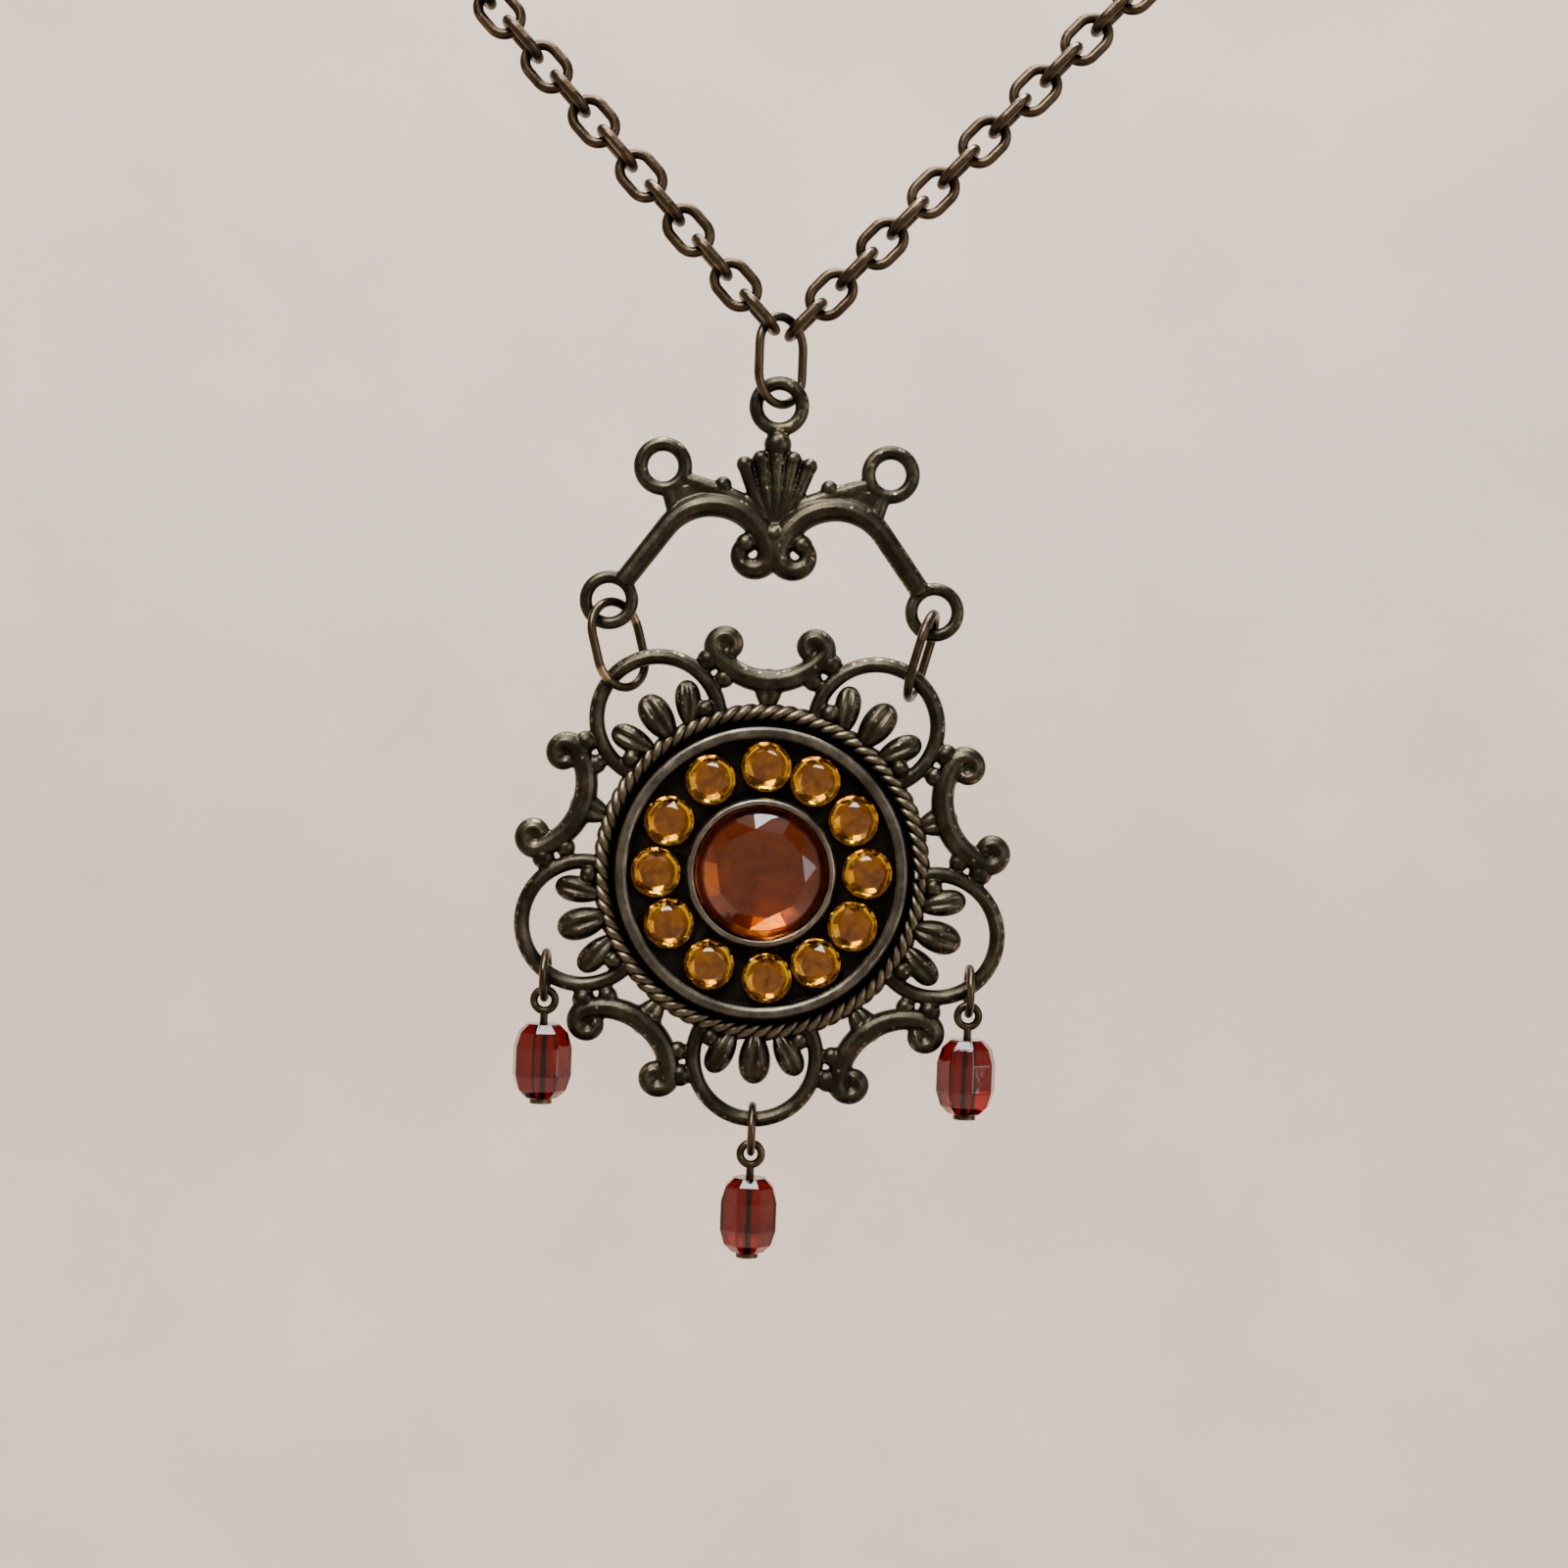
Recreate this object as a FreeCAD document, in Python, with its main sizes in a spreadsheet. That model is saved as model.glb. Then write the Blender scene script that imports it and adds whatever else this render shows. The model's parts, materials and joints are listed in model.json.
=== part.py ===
import FreeCAD, Part
import math
import os

import Sketcher

# Pendant necklace, hanging as it is worn. Millimetres, +Z up, the front faces -Y.
# The origin is at the nape, in the middle of the clasp.
# Flat pieces are drawn in their own XY plane, x to the right, y up and z towards the viewer,
# and are then stood up by the Placement of the finished piece.

SIZES = (
    # chain
    ("link_wire", 0.8, "diameter of the chain's wire"),
    ("link_length", 4.4, "outside length of a chain link"),
    ("link_width", 3.3, "outside width of a chain link"),
    ("link_play", 0.06, "least gap between two linked wires"),
    ("front_links", 22, "links of each strand that swing with the pendant"),
    ("strand_angle", 43, "each front strand, from the vertical, degrees"),
    ("strand_straight", 62, "straight run of each front strand"),
    # loop round the neck
    ("loop_depth", 112, "from the nape to the plane of the pendant"),
    ("loop_drop", 105, "from the nape down to the top of the bail ring"),
    ("loop_half_width", 66, "half the width of the loop at the sides of the neck"),
    ("bend_lead", 26, "how far a strand's straight run leads the curve that follows it"),
    # oval rings: the bail ring and the two side rings
    ("oval_wire", 0.7, "diameter of the oval rings' wire"),
    ("oval_width", 5.3, "outside width of an oval ring"),
    ("oval_length", 7.3, "outside length of an oval ring"),
    ("oval_yaw", 45, "turn of the bail and left rings about the vertical, degrees"),
    ("side_ring_yaw", 78, "turn of the right side ring, degrees"),
    ("side_ring_lean", 15, "lean of the side rings towards the middle, degrees"),
    ("eyelet_hang", 0.15, "how far a ring's wire sits from an eyelet's centre"),
    # connector
    ("eyelet_bead", 0.55, "section radius of the top eyelet"),
    ("eyelet_radius", 1.75, "ring radius of the top eyelet"),
    ("ear_bead", 0.6, "section radius of the ear eyelets"),
    ("ear_radius", 1.65, "ring radius of the ear eyelets"),
    ("ear_bore", 1.15, "radius of the ear eyelets' bore"),
    ("ear_half_span", 8.6, "ear eyelets, from the middle"),
    ("ear_drop", 4.85, "ear eyelets, below the top eyelet"),
    ("low_eyelet_bead", 0.5, "section radius of the lower eyelets"),
    ("low_eyelet_radius", 1.75, "ring radius of the lower eyelets"),
    ("low_eyelet_half_span", 12.3, "lower eyelets, from the middle"),
    ("low_eyelet_drop", 15.1, "lower eyelets, below the top eyelet"),
    ("arch_radius", 4.4, "centreline radius of the two arches"),
    ("arch_half_span", 4.6, "arch centres, from the middle"),
    ("arch_drop", 12.0, "arch centres, below the top eyelet"),
    ("arch_bar", 0.95, "section radius of the arches"),
    ("leg_bar", 0.75, "section radius of the legs at the lower eyelets"),
    ("leg_angle", 37.7, "where an arch runs into its leg, degrees up from level"),
    ("curl_radius", 1.3, "centreline radius of the curls in the middle"),
    ("curl_bar", 0.7, "section radius of the curls"),
    ("curl_angle", 165, "where an arch runs into its curl, degrees up from level"),
    ("curl_sweep", 220, "how far a curl turns, degrees"),
    ("curl_ball", 0.75, "radius of the ball that ends a curl"),
    ("arm_bar", 0.55, "section radius of the arms to the ears"),
    ("arm_foot_half_span", 1.6, "feet of the arms, from the middle"),
    ("arm_foot_drop", 7.7, "feet of the arms, below the top eyelet"),
    ("stub_angle", 50, "where an ear's stub stands on its arch, degrees up from level"),
    ("bump_half_span", 4.0, "bumps on the arms, from the middle"),
    ("bump_drop", 6.2, "bumps on the arms, below the top eyelet"),
    ("web_thickness", 0.9, "thickness of the web between an arm and its arch"),
    ("palmette_foot", 9.6, "foot of the palmette, below the top eyelet"),
    ("palmette_top", 4.1, "top of its middle rib, below the top eyelet"),
    ("rib_spacing", 1.2, "distance between the tops of the ribs"),
    ("rib_fall", 0.14, "how far the ribs' tops fall away from the middle one"),
    ("rib_foot_radius", 0.28, "radius of a palmette rib at its foot"),
    ("rib_radius", 0.62, "radius of a palmette rib at its top"),
    # medallion frame
    ("connector_rise", 35.2, "top eyelet above the medallion's centre"),
    ("petals", 5, "scrolls, and lobes, round the medallion"),
    ("rope_radius", 12.0, "centreline radius of the rope ring"),
    ("rope_bead", 0.75, "section radius of the rope ring"),
    ("plate_bore", 7.0, "radius of the opening in the back plate"),
    ("plate_thickness", 0.8, "thickness of the back plate"),
    ("plate_front", -0.1, "front face of the back plate"),
    ("scroll_back", 14.4, "middle of a scroll's back, from the centre"),
    ("scroll_curl_rise", 17.0, "centres of a scroll's curls, from the centre"),
    ("scroll_curl_half_span", 3.3, "centres of a scroll's curls, from its middle"),
    ("scroll_curl_radius", 1.0, "centreline radius of a scroll's curls"),
    ("scroll_curl_sweep", 235, "how far a scroll's curls turn, degrees"),
    ("scroll_bar", 0.65, "section radius of scrolls and lobes"),
    ("scroll_ball", 0.8, "radius of the ball in each curl"),
    ("lobe_centre", 14.0, "centre of a lobe's arch, from the centre"),
    ("lobe_radius", 4.65, "centreline radius of a lobe's arch"),
    ("leaf_foot", 12.3, "where a leaf starts, from the centre"),
    ("leaf_turn", 10, "side leaves, round from the middle one, degrees"),
    ("leaf_splay", 0.5, "how much further round a side leaf's tip is, degrees"),
    ("middle_leaf_reach", 14.3, "tip of a middle leaf, from the centre"),
    ("side_leaf_reach", 14.5, "tip of a side leaf, from the centre"),
    ("leaf_base", 0.65, "radius of a leaf at its foot"),
    ("leaf_tip", 1.1, "radius of a leaf at its tip"),
    ("bridge_ring", 16.5, "bridges between scrolls and lobes, from the centre"),
    ("bridge_turn", 16.3, "bridges, round from the middle of a scroll, degrees"),
    ("bridge_radius", 0.85, "radius of a bridge"),
    # cup, bezel and stones
    ("cup_radius", 10.95, "outside radius of the stone cup"),
    ("cup_inside", 10.05, "inside radius of the stone cup"),
    ("cup_floor", 0.5, "thickness of the cup's floor"),
    ("cup_height", 2.0, "height of the cup"),
    ("cup_chamfer", 0.15, "chamfer on the rims of cup and bezel"),
    ("bezel_radius", 5.65, "outside radius of the centre bezel"),
    ("bezel_inside", 5.08, "inside radius of the centre bezel"),
    ("bezel_height", 1.7, "height of the centre bezel"),
    ("centre_stone_radius", 5.0, "radius of the centre stone"),
    ("small_stone_radius", 1.9, "radius of a small stone"),
    ("small_stone_ring", 7.95, "radius of the ring of small stones"),
    # drops
    ("drop_ring_wire", 0.6, "diameter of the drop rings' wire"),
    ("drop_ring_radius", 1.75, "centreline radius of a drop ring"),
    ("side_drop_x", 16.0, "side drops, from the middle"),
    ("pin_wire", 0.6, "diameter of a headpin"),
    ("pin_eye_radius", 0.8, "centreline radius of a headpin's eye"),
    ("pin_neck", 0.6, "straight wire between a headpin's eye and its bead"),
    ("pin_head_radius", 0.85, "radius of a headpin's head"),
    ("pin_head_height", 0.35, "thickness of a headpin's head"),
    ("drop_play", 0.06, "gap between linked wires, and at the ends of a bead"),
    ("bead_radius", 2.3, "radius of a bead over its corners"),
    ("bead_length", 5.6, "length of a bead"),
    ("bead_bore", 0.36, "radius of the hole in a bead"),
    # clasp
    ("claw_radius", 2.9, "centreline radius of the claw's nose"),
    ("claw_bar", 0.7, "section radius of the claw's nose"),
    ("claw_sweep", 165, "how far the claw's nose turns up from its foot, degrees"),
    ("claw_x", 2.9, "centre of the claw's nose, from the nape"),
    ("housing_thickness", 2.4, "thickness of the clasp's housing"),
    ("slot_width", 1.2, "width of the slot for the lever"),
    ("lever_thickness", 0.6, "thickness of the lever"),
    ("lever_offset", -0.1, "back face of the lever, from the middle of the slot"),
    ("rivet_radius", 0.4, "radius of the rivet"),
    ("lever_bore", 0.45, "radius of the hole in the lever"),
    ("rivet_x", -4.1, "rivet, from the centre of the nose"),
    ("rivet_y", 0.9, "rivet, above the centre of the nose"),
    ("spring_wire", 0.28, "diameter of the spring's wire"),
    ("spring_coil", 0.65, "centreline radius of the spring's turn"),
    ("spring_back", 0.38, "spring, behind the middle of the slot"),
    ("spring_leg", 1.1, "length of the spring's legs"),
    ("spring_angle", 61, "slope of the spring's free leg, degrees up from level"),
    ("tail_x", -8.25, "tail eye, from the centre of the nose"),
    ("tail_radius", 1.2, "ring radius of the tail eye"),
    ("tail_bar", 0.55, "section radius of the tail eye"),
    ("clasp_ring_radius", 1.75, "centreline radius of the ring on the tail"),
    ("end_ring_radius", 2.2, "centreline radius of the ring in the claw"),
    ("end_ring_wire", 0.8, "diameter of the end ring's wire"),
    ("clasp_play", 0.05, "gap between a clasp ring and what it hangs on"),
)

# the small stones, hand-set: clock angle of each, degrees
STONE_ANGLES = (0.5, 28.5, 58.5, 88.5, 118.5, 147, 175, 207.5, 239, 268, 297, 329)

# a stone's cut, from its foot up: height, and share of its full radius
CENTRE_STONE_CUT = ((0, 0.94), (0.5, 1), (1.1, 1), (2.0, 0.8), (2.6, 0.56))
SMALL_STONE_CUT = ((0, 0.92), (0.3, 1), (0.8, 1), (1.3, 0.76), (1.6, 0.5))

# a bead's barrel, from its foot up: share of its length, and share of its full radius
BEAD_CUT = ((0, 0.54), (0.11, 0.83), (0.31, 1), (0.69, 1), (0.89, 0.83), (1, 0.54))

# how the loop swings out and back to the nape: shares of its half width, depth and height
LOOP_POLES = ((1.09, 0.9, 0.33), (1.18, 0.45, 0.07), (0.9, 0, 0))

# corners of the clasp's flat pieces, from the centre of its nose
HOUSING_CORNERS = (
    (-7.3, -0.8), (-6.0, -2.5), (-3.2, -3.2), (-2.9, -1.2), (-3.3, 2.1), (-5.3, 2.1), (-7.3, 0.8),
)
SLOT_CORNERS = ((-5.6, -0.6), (-2.0, -0.6), (-2.0, 2.6), (-5.6, 2.6))
LEVER_CORNERS = (
    (-4.9, 0.45), (-3.6, 0.2), (-2.2, 1.2), (1.0, 1.45), (1.3, 1.62), (0.7, 1.95),
    (0.0, 2.0), (-0.7, 2.5), (-2.6, 2.75), (-4.6, 3.7), (-5.2, 3.2), (-4.6, 1.8),
)
SPINE_END = (-4.0, -2.3)

STAND_UP = FreeCAD.Rotation(FreeCAD.Vector(1, 0, 0), 90)
UPWARD = FreeCAD.Vector(0, 0, 1)

doc = FreeCAD.newDocument("PendantNecklace")
sub_parts = []


# ---------------------------------------------------------------- the sheet

def fill_sheet():
    """Puts the driving dimensions in the spreadsheet, one row each."""
    table = doc.addObject("Spreadsheet::Sheet", "Sizes")
    for row, (alias, value, meaning) in enumerate(SIZES, start=1):
        table.set(f"A{row}", alias)
        table.set(f"B{row}", str(value))
        table.set(f"C{row}", meaning)
        table.setAlias(f"B{row}", alias)
    doc.recompute()
    return table


sheet = fill_sheet()


def size(alias):
    """The number in a cell of the sheet."""
    return float(sheet.get(alias))


def bind(item, **expressions):
    """Binds each named property to an expression on the sheet's cells."""
    for name, expression in expressions.items():
        item.setExpression(name, expression)


# ---------------------------------------------------------------- small helpers

def polar(radius, clock):
    """A point at a radius and a clock angle, in degrees clockwise from the top."""
    turn = math.radians(clock)
    return FreeCAD.Vector(radius * math.sin(turn), radius * math.cos(turn), 0)


def on_circle(centre, radius, angle):
    """A point on a circle, at an angle in degrees anticlockwise from +x."""
    turn = math.radians(angle)
    return centre + FreeCAD.Vector(radius * math.cos(turn), radius * math.sin(turn), 0)


def direction_angle(start, finish):
    """The direction from start to finish, in degrees anticlockwise from +x."""
    return math.degrees(math.atan2(finish.y - start.y, finish.x - start.x))


def place(item, position, rotation=FreeCAD.Rotation()):
    """Sets the Placement of an item and returns it."""
    item.Placement = FreeCAD.Placement(position, rotation)
    return item


def finish(item, label, position, rotation=FreeCAD.Rotation()):
    """Labels a finished sub-part, puts it in its place and lists it for writing."""
    item.Label = label
    sub_parts.append(item)
    return place(item, position, rotation)


def ring_arc(name, centre, ring_radius, bar_radius, start=0, sweep=360):
    """A ring of round section lying flat, or the arc of it that starts at an angle."""
    arc = doc.addObject("Part::Torus", name)
    bind(arc, Radius1=ring_radius, Radius2=bar_radius)
    arc.Angle3 = sweep
    return place(arc, centre, FreeCAD.Rotation(UPWARD, start))


def rod(name, start, finish_point, radius):
    """A straight bar of round section between two points."""
    run = finish_point - start
    bar = doc.addObject("Part::Cylinder", name)
    bind(bar, Radius=radius)
    bar.Height = run.Length
    return place(bar, start, FreeCAD.Rotation(UPWARD, run))


def tapered_rod(name, start, finish_point, start_radius, finish_radius):
    """A straight bar that tapers from one radius to another."""
    run = finish_point - start
    bar = doc.addObject("Part::Cone", name)
    bind(bar, Radius1=start_radius, Radius2=finish_radius)
    bar.Height = run.Length
    return place(bar, start, FreeCAD.Rotation(UPWARD, run))


def ball(name, centre, radius):
    """A ball with a tiny flat at each pole, so that it joins its neighbours cleanly."""
    sphere = doc.addObject("Part::Sphere", name)
    bind(sphere, Radius=radius)
    sphere.Angle1 = -80
    sphere.Angle2 = 80
    return place(sphere, centre)


def fuse(name, shapes):
    """One solid made of several that run into each other."""
    joined = doc.addObject("Part::MultiFuse", name)
    joined.Shapes = shapes
    joined.Refine = False
    return joined


def cut(name, base, tool):
    """A base with a tool taken away from it."""
    rest = doc.addObject("Part::Cut", name)
    rest.Base = base
    rest.Tool = tool
    return rest


def origin_plane(body, role):
    """One of a body's own origin planes."""
    return next(item for item in body.Origin.OriginFeatures if item.Role == role)


def flat_sketch(body, name):
    """An empty sketch on a body's own XY plane."""
    sketch = body.newObject("Sketcher::SketchObject", name)
    sketch.AttachmentSupport = [(origin_plane(body, "XY_Plane"), "")]
    sketch.MapMode = "FlatFace"
    return sketch


def circles_sketch(body, name, radii, centre=("0", "0")):
    """A sketch of circles about one point, their radii and the point bound to the sheet."""
    sketch = flat_sketch(body, name)
    for radius in radii:
        circle = sketch.addGeometry(Part.Circle(FreeCAD.Vector(), UPWARD, 1.0))
        for kind, expression in (("DistanceX", centre[0]), ("DistanceY", centre[1])):
            if expression == "0":
                continue
            index = sketch.addConstraint(Sketcher.Constraint(kind, -1, 1, circle, 3, 1.0))
            sketch.setExpression(f"Constraints[{index}]", expression)
        if centre == ("0", "0"):
            sketch.addConstraint(Sketcher.Constraint("Coincident", circle, 3, -1, 1))
        index = sketch.addConstraint(Sketcher.Constraint("Radius", circle, 1.0))
        sketch.setExpression(f"Constraints[{index}]", radius)
    return sketch


def outline_sketch(body, name, corners):
    """A closed outline of straight sides through the given corners."""
    sketch = flat_sketch(body, name)
    points = [FreeCAD.Vector(x, y, 0) for x, y in corners]
    for start, finish_point in zip(points, points[1:] + points[:1]):
        sketch.addGeometry(Part.LineSegment(start, finish_point))
    for side in range(len(points)):
        following = (side + 1) % len(points)
        sketch.addConstraint(Sketcher.Constraint("Coincident", side, 2, following, 1))
        sketch.addConstraint(Sketcher.Constraint("Block", side))
    return sketch


def pad(body, name, sketch, length, midplane=False):
    """A pad of a sketch towards the viewer, or half to each side of it."""
    feature = body.newObject("PartDesign::Pad", name)
    feature.Profile = sketch
    bind(feature, Length=length)
    feature.Midplane = midplane
    return feature


# ---------------------------------------------------------------- rings and chain

def oval_ring(name, length, width, wire):
    """A wire ring with two straight sides, long along y, swept round its own centreline."""
    body = doc.addObject("PartDesign::Body", name)
    bend = (size(width) - size(wire)) / 2
    straight = size(length) - size(width)
    bend_radius = f"(Sizes.{width} - Sizes.{wire}) / 2"
    half_straight = f"(Sizes.{length} - Sizes.{width}) / 2"
    path = slot_path(body, f"{name}_path", bend, straight, bend_radius, half_straight)
    section = body.newObject("Sketcher::SketchObject", f"{name}_section")
    section.AttachmentSupport = [(origin_plane(body, "XZ_Plane"), "")]
    section.MapMode = "FlatFace"
    # the section stands at the start of the path, which is the foot of the right-hand side
    section.setExpression("AttachmentOffset.Base.z", half_straight)
    circle = section.addGeometry(Part.Circle(FreeCAD.Vector(bend, 0, 0), UPWARD, 0.4))
    section.addConstraint(Sketcher.Constraint("PointOnObject", circle, 3, -1))
    index = section.addConstraint(Sketcher.Constraint("DistanceX", -1, 1, circle, 3, bend))
    section.setExpression(f"Constraints[{index}]", bend_radius)
    index = section.addConstraint(Sketcher.Constraint("Radius", circle, 0.4))
    section.setExpression(f"Constraints[{index}]", f"Sizes.{wire} / 2")
    ring = body.newObject("PartDesign::AdditivePipe", f"{name}_wire")
    ring.Profile = section
    ring.Spine = (path, [])
    doc.recompute()
    return body


def slot_path(body, name, bend, straight, bend_radius, half_straight):
    """A closed path of two straight sides and two half circles, its middle on the origin."""
    sketch = flat_sketch(body, name)
    top = FreeCAD.Vector(0, straight / 2, 0)
    bottom = FreeCAD.Vector(0, -straight / 2, 0)
    across = FreeCAD.Vector(bend, 0, 0)
    right = sketch.addGeometry(Part.LineSegment(bottom + across, top + across))
    upper = sketch.addGeometry(Part.ArcOfCircle(Part.Circle(top, UPWARD, bend), 0, math.pi))
    left = sketch.addGeometry(Part.LineSegment(top - across, bottom - across))
    under = Part.ArcOfCircle(Part.Circle(bottom, UPWARD, bend), math.pi, 2 * math.pi)
    lower = sketch.addGeometry(under)
    for first, second in ((right, upper), (upper, left), (left, lower), (lower, right)):
        sketch.addConstraint(Sketcher.Constraint("Tangent", first, 2, second, 1))
    sketch.addConstraint(Sketcher.Constraint("Vertical", right))
    sketch.addConstraint(Sketcher.Constraint("PointOnObject", upper, 3, -2))
    index = sketch.addConstraint(Sketcher.Constraint("Radius", upper, bend))
    sketch.setExpression(f"Constraints[{index}]", bend_radius)
    for first, second in (((-1, 1), (upper, 3)), ((lower, 3), (-1, 1))):
        drop = Sketcher.Constraint("DistanceY", *first, *second, straight / 2)
        index = sketch.addConstraint(drop)
        sketch.setExpression(f"Constraints[{index}]", half_straight)
    return sketch


def neck_route(side):
    """One side's chain, as if on the right: the straight front strand, then round to the nape."""
    lean = math.radians(size("strand_angle"))
    straight = size("strand_straight")
    depth = size("loop_depth")
    wide = size("loop_half_width")
    start = strand_start(side)
    start.x = abs(start.x)
    bend = FreeCAD.Vector(
        start.x + straight * math.sin(lean),
        -depth,
        start.z + straight * math.cos(lean),
    )
    along = (bend - start).normalize()
    nape = FreeCAD.Vector(clasp_reach(), 0, 0)
    poles = [bend, bend + along * size("bend_lead")]
    for across, forward, down in LOOP_POLES:
        poles.append(FreeCAD.Vector(across * wide, -forward * depth, down * bend.z))
    curve = Part.BezierCurve()
    curve.setPoles(poles + [nape])
    return Part.LineSegment(start, bend).toShape(), curve.toShape()


def clasp_reach():
    """How far from the nape each end link's wire hooks its clasp ring."""
    return size("claw_x") + claw_wire_x() + 2 * size("end_ring_radius")


def claw_wire_x():
    """Where the end ring's wire lies inside the claw, from the centre of the nose."""
    inside = size("claw_radius") - size("claw_bar")
    return inside - size("end_ring_wire") / 2 - size("clasp_play")


def strand_start(side):
    """Where the bail ring's wire passes through an end link: side 1 is right, -1 left."""
    bend = (size("oval_width") - size("oval_wire")) / 2
    lean = math.radians(size("strand_angle"))
    yaw = math.radians(size("oval_yaw"))
    across = side * bend * math.sin(lean)
    below_top = bend * (1 - math.cos(lean))
    return FreeCAD.Vector(
        across * math.cos(yaw),
        across * math.sin(yaw) - size("loop_depth"),
        -size("loop_drop") - below_top,
    )


def point_on_route(route, distance):
    """The point and direction at a distance along the two runs of the route."""
    straight, curve = route
    edge = straight
    if distance > straight.Length:
        edge = curve
        distance -= straight.Length
    parameter = edge.getParameterByLength(distance)
    return edge.valueAt(parameter), edge.tangentAt(parameter)


def strand_links(side):
    """Placements of one strand's links, from the bail ring to the nape.

    Each link stands square to the last. The links' planes are carried along the route
    without twist, and what is left over at the nape is shared out over the whole strand.
    """
    route = neck_route(side)
    half_reach = (size("link_length") - size("link_wire")) / 2
    end_gap = half_reach - size("link_wire") - size("link_play")
    widest_pitch = 2 * half_reach - size("link_wire") - size("link_play")
    run = sum(edge.Length for edge in route) - 2 * end_gap
    steps = 2 * math.ceil(run / widest_pitch / 2)
    pitch = run / steps
    stations = [point_on_route(route, end_gap + pitch * index) for index in range(steps + 1)]

    normal = FreeCAD.Vector(0, 1, 0)
    normals = []
    for _, along in stations:
        normal = (normal - along * normal.dot(along)).normalize()
        normals.append(normal)
    last_along = stations[-1][1]
    wanted = (UPWARD - last_along * UPWARD.dot(last_along)).normalize()
    twist = math.degrees(math.atan2(normal.cross(wanted).dot(last_along), normal.dot(wanted)))
    twist = (twist + 90) % 180 - 90

    placements = []
    for index, ((point, along), normal) in enumerate(zip(stations, normals)):
        turn = twist * index / steps + 90 * ((index + 1) % 2)
        face = FreeCAD.Rotation(along, turn).multVec(normal)
        if side < 0:
            point = FreeCAD.Vector(-point.x, point.y, point.z)
            along = FreeCAD.Vector(-along.x, along.y, along.z)
            face = FreeCAD.Vector(-face.x, face.y, face.z)
        rotation = FreeCAD.Rotation(face.cross(along) * -1, along, face, "ZYX")
        placements.append(FreeCAD.Placement(point, rotation))
    return placements


def add_links(label, link, placements):
    """A run of separate links in one sub-part."""
    group = doc.addObject("Part::Feature", label)
    solids = []
    for placement in placements:
        solid = link.Shape.Solids[0].copy()
        solid.Placement = placement.multiply(solid.Placement)
        solids.append(solid)
    group.Shape = Part.makeCompound(solids)
    return finish(group, label, FreeCAD.Vector())


def add_chain():
    """Both strands: the front runs that swing with the pendant, then four runs each to the nape."""
    link = oval_ring("chain_link", "link_length", "link_width", "link_wire")
    doc.recompute()
    front = int(size("front_links"))
    for side, word in ((-1, "left"), (1, "right")):
        placements = strand_links(side)
        add_links(f"front_chain_{word}", link, placements[:front])
        rest = placements[front:]
        share = math.ceil(len(rest) / 4)
        for run in range(4):
            add_links(f"neck_chain_{word}_{run + 1}", link, rest[run * share:(run + 1) * share])


def add_oval_ring(label, centre, yaw, lean):
    """An oval ring, turned about the vertical and then leant in the plane of the pendant."""
    ring = oval_ring(label, "oval_length", "oval_width", "oval_wire")
    turned = FreeCAD.Rotation(UPWARD, yaw) * STAND_UP
    return finish(ring, label, centre, FreeCAD.Rotation(FreeCAD.Vector(0, 1, 0), lean) * turned)


# ---------------------------------------------------------------- places of the pendant

def oval_reach():
    """Length of an oval ring between the centres of its end wires."""
    return size("oval_length") - size("oval_wire")


def connector_place():
    """Centre of the connector's top eyelet, a little below the bail ring's bottom wire."""
    z = -size("loop_drop") - oval_reach() - size("eyelet_hang")
    return FreeCAD.Vector(0, -size("loop_depth"), z)


def medallion_place():
    """Centre of the medallion."""
    return connector_place() - FreeCAD.Vector(0, 0, size("connector_rise"))


def side_ring_top(side):
    """Centre of a side ring's top wire, inside the lower eyelet."""
    across = side * size("low_eyelet_half_span")
    drop = size("low_eyelet_drop") + size("eyelet_hang")
    return connector_place() + FreeCAD.Vector(across, 0, -drop)


def side_ring_bottom(side):
    """Centre of a side ring's bottom wire, inside the medallion's upper lobe."""
    lean = math.radians(size("side_ring_lean"))
    run = FreeCAD.Vector(-side * math.sin(lean), 0, -math.cos(lean))
    return side_ring_top(side) + run * oval_reach()


# ---------------------------------------------------------------- connector

def palmette():
    """Five ribs that fan out upwards from one foot, each with a rounded top."""
    foot = FreeCAD.Vector(0, -size("palmette_foot"), 0)
    pieces = []
    for rib in range(-2, 3):
        fall = size("rib_fall") * rib * rib
        top = FreeCAD.Vector(size("rib_spacing") * rib, -size("palmette_top") - fall, 0)
        pieces.append(tapered_rod(f"rib_{rib + 3}", foot, top,
                                  "Sizes.rib_foot_radius", "Sizes.rib_radius"))
        pieces.append(ball(f"rib_top_{rib + 3}", top, "Sizes.rib_radius"))
    return pieces


def towards(start, target, distance):
    """The point at a distance from start, on the way to a target."""
    return start + (target - start).normalize() * distance


def web(name, corners):
    """The thin sheet of metal left between bars that stand close together."""
    body = doc.addObject("PartDesign::Body", name)
    outline = outline_sketch(body, f"{name}_sketch", [(corner.x, corner.y) for corner in corners])
    pad(body, f"{name}_pad", outline, "Sizes.web_thickness", midplane=True)
    return body


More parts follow.
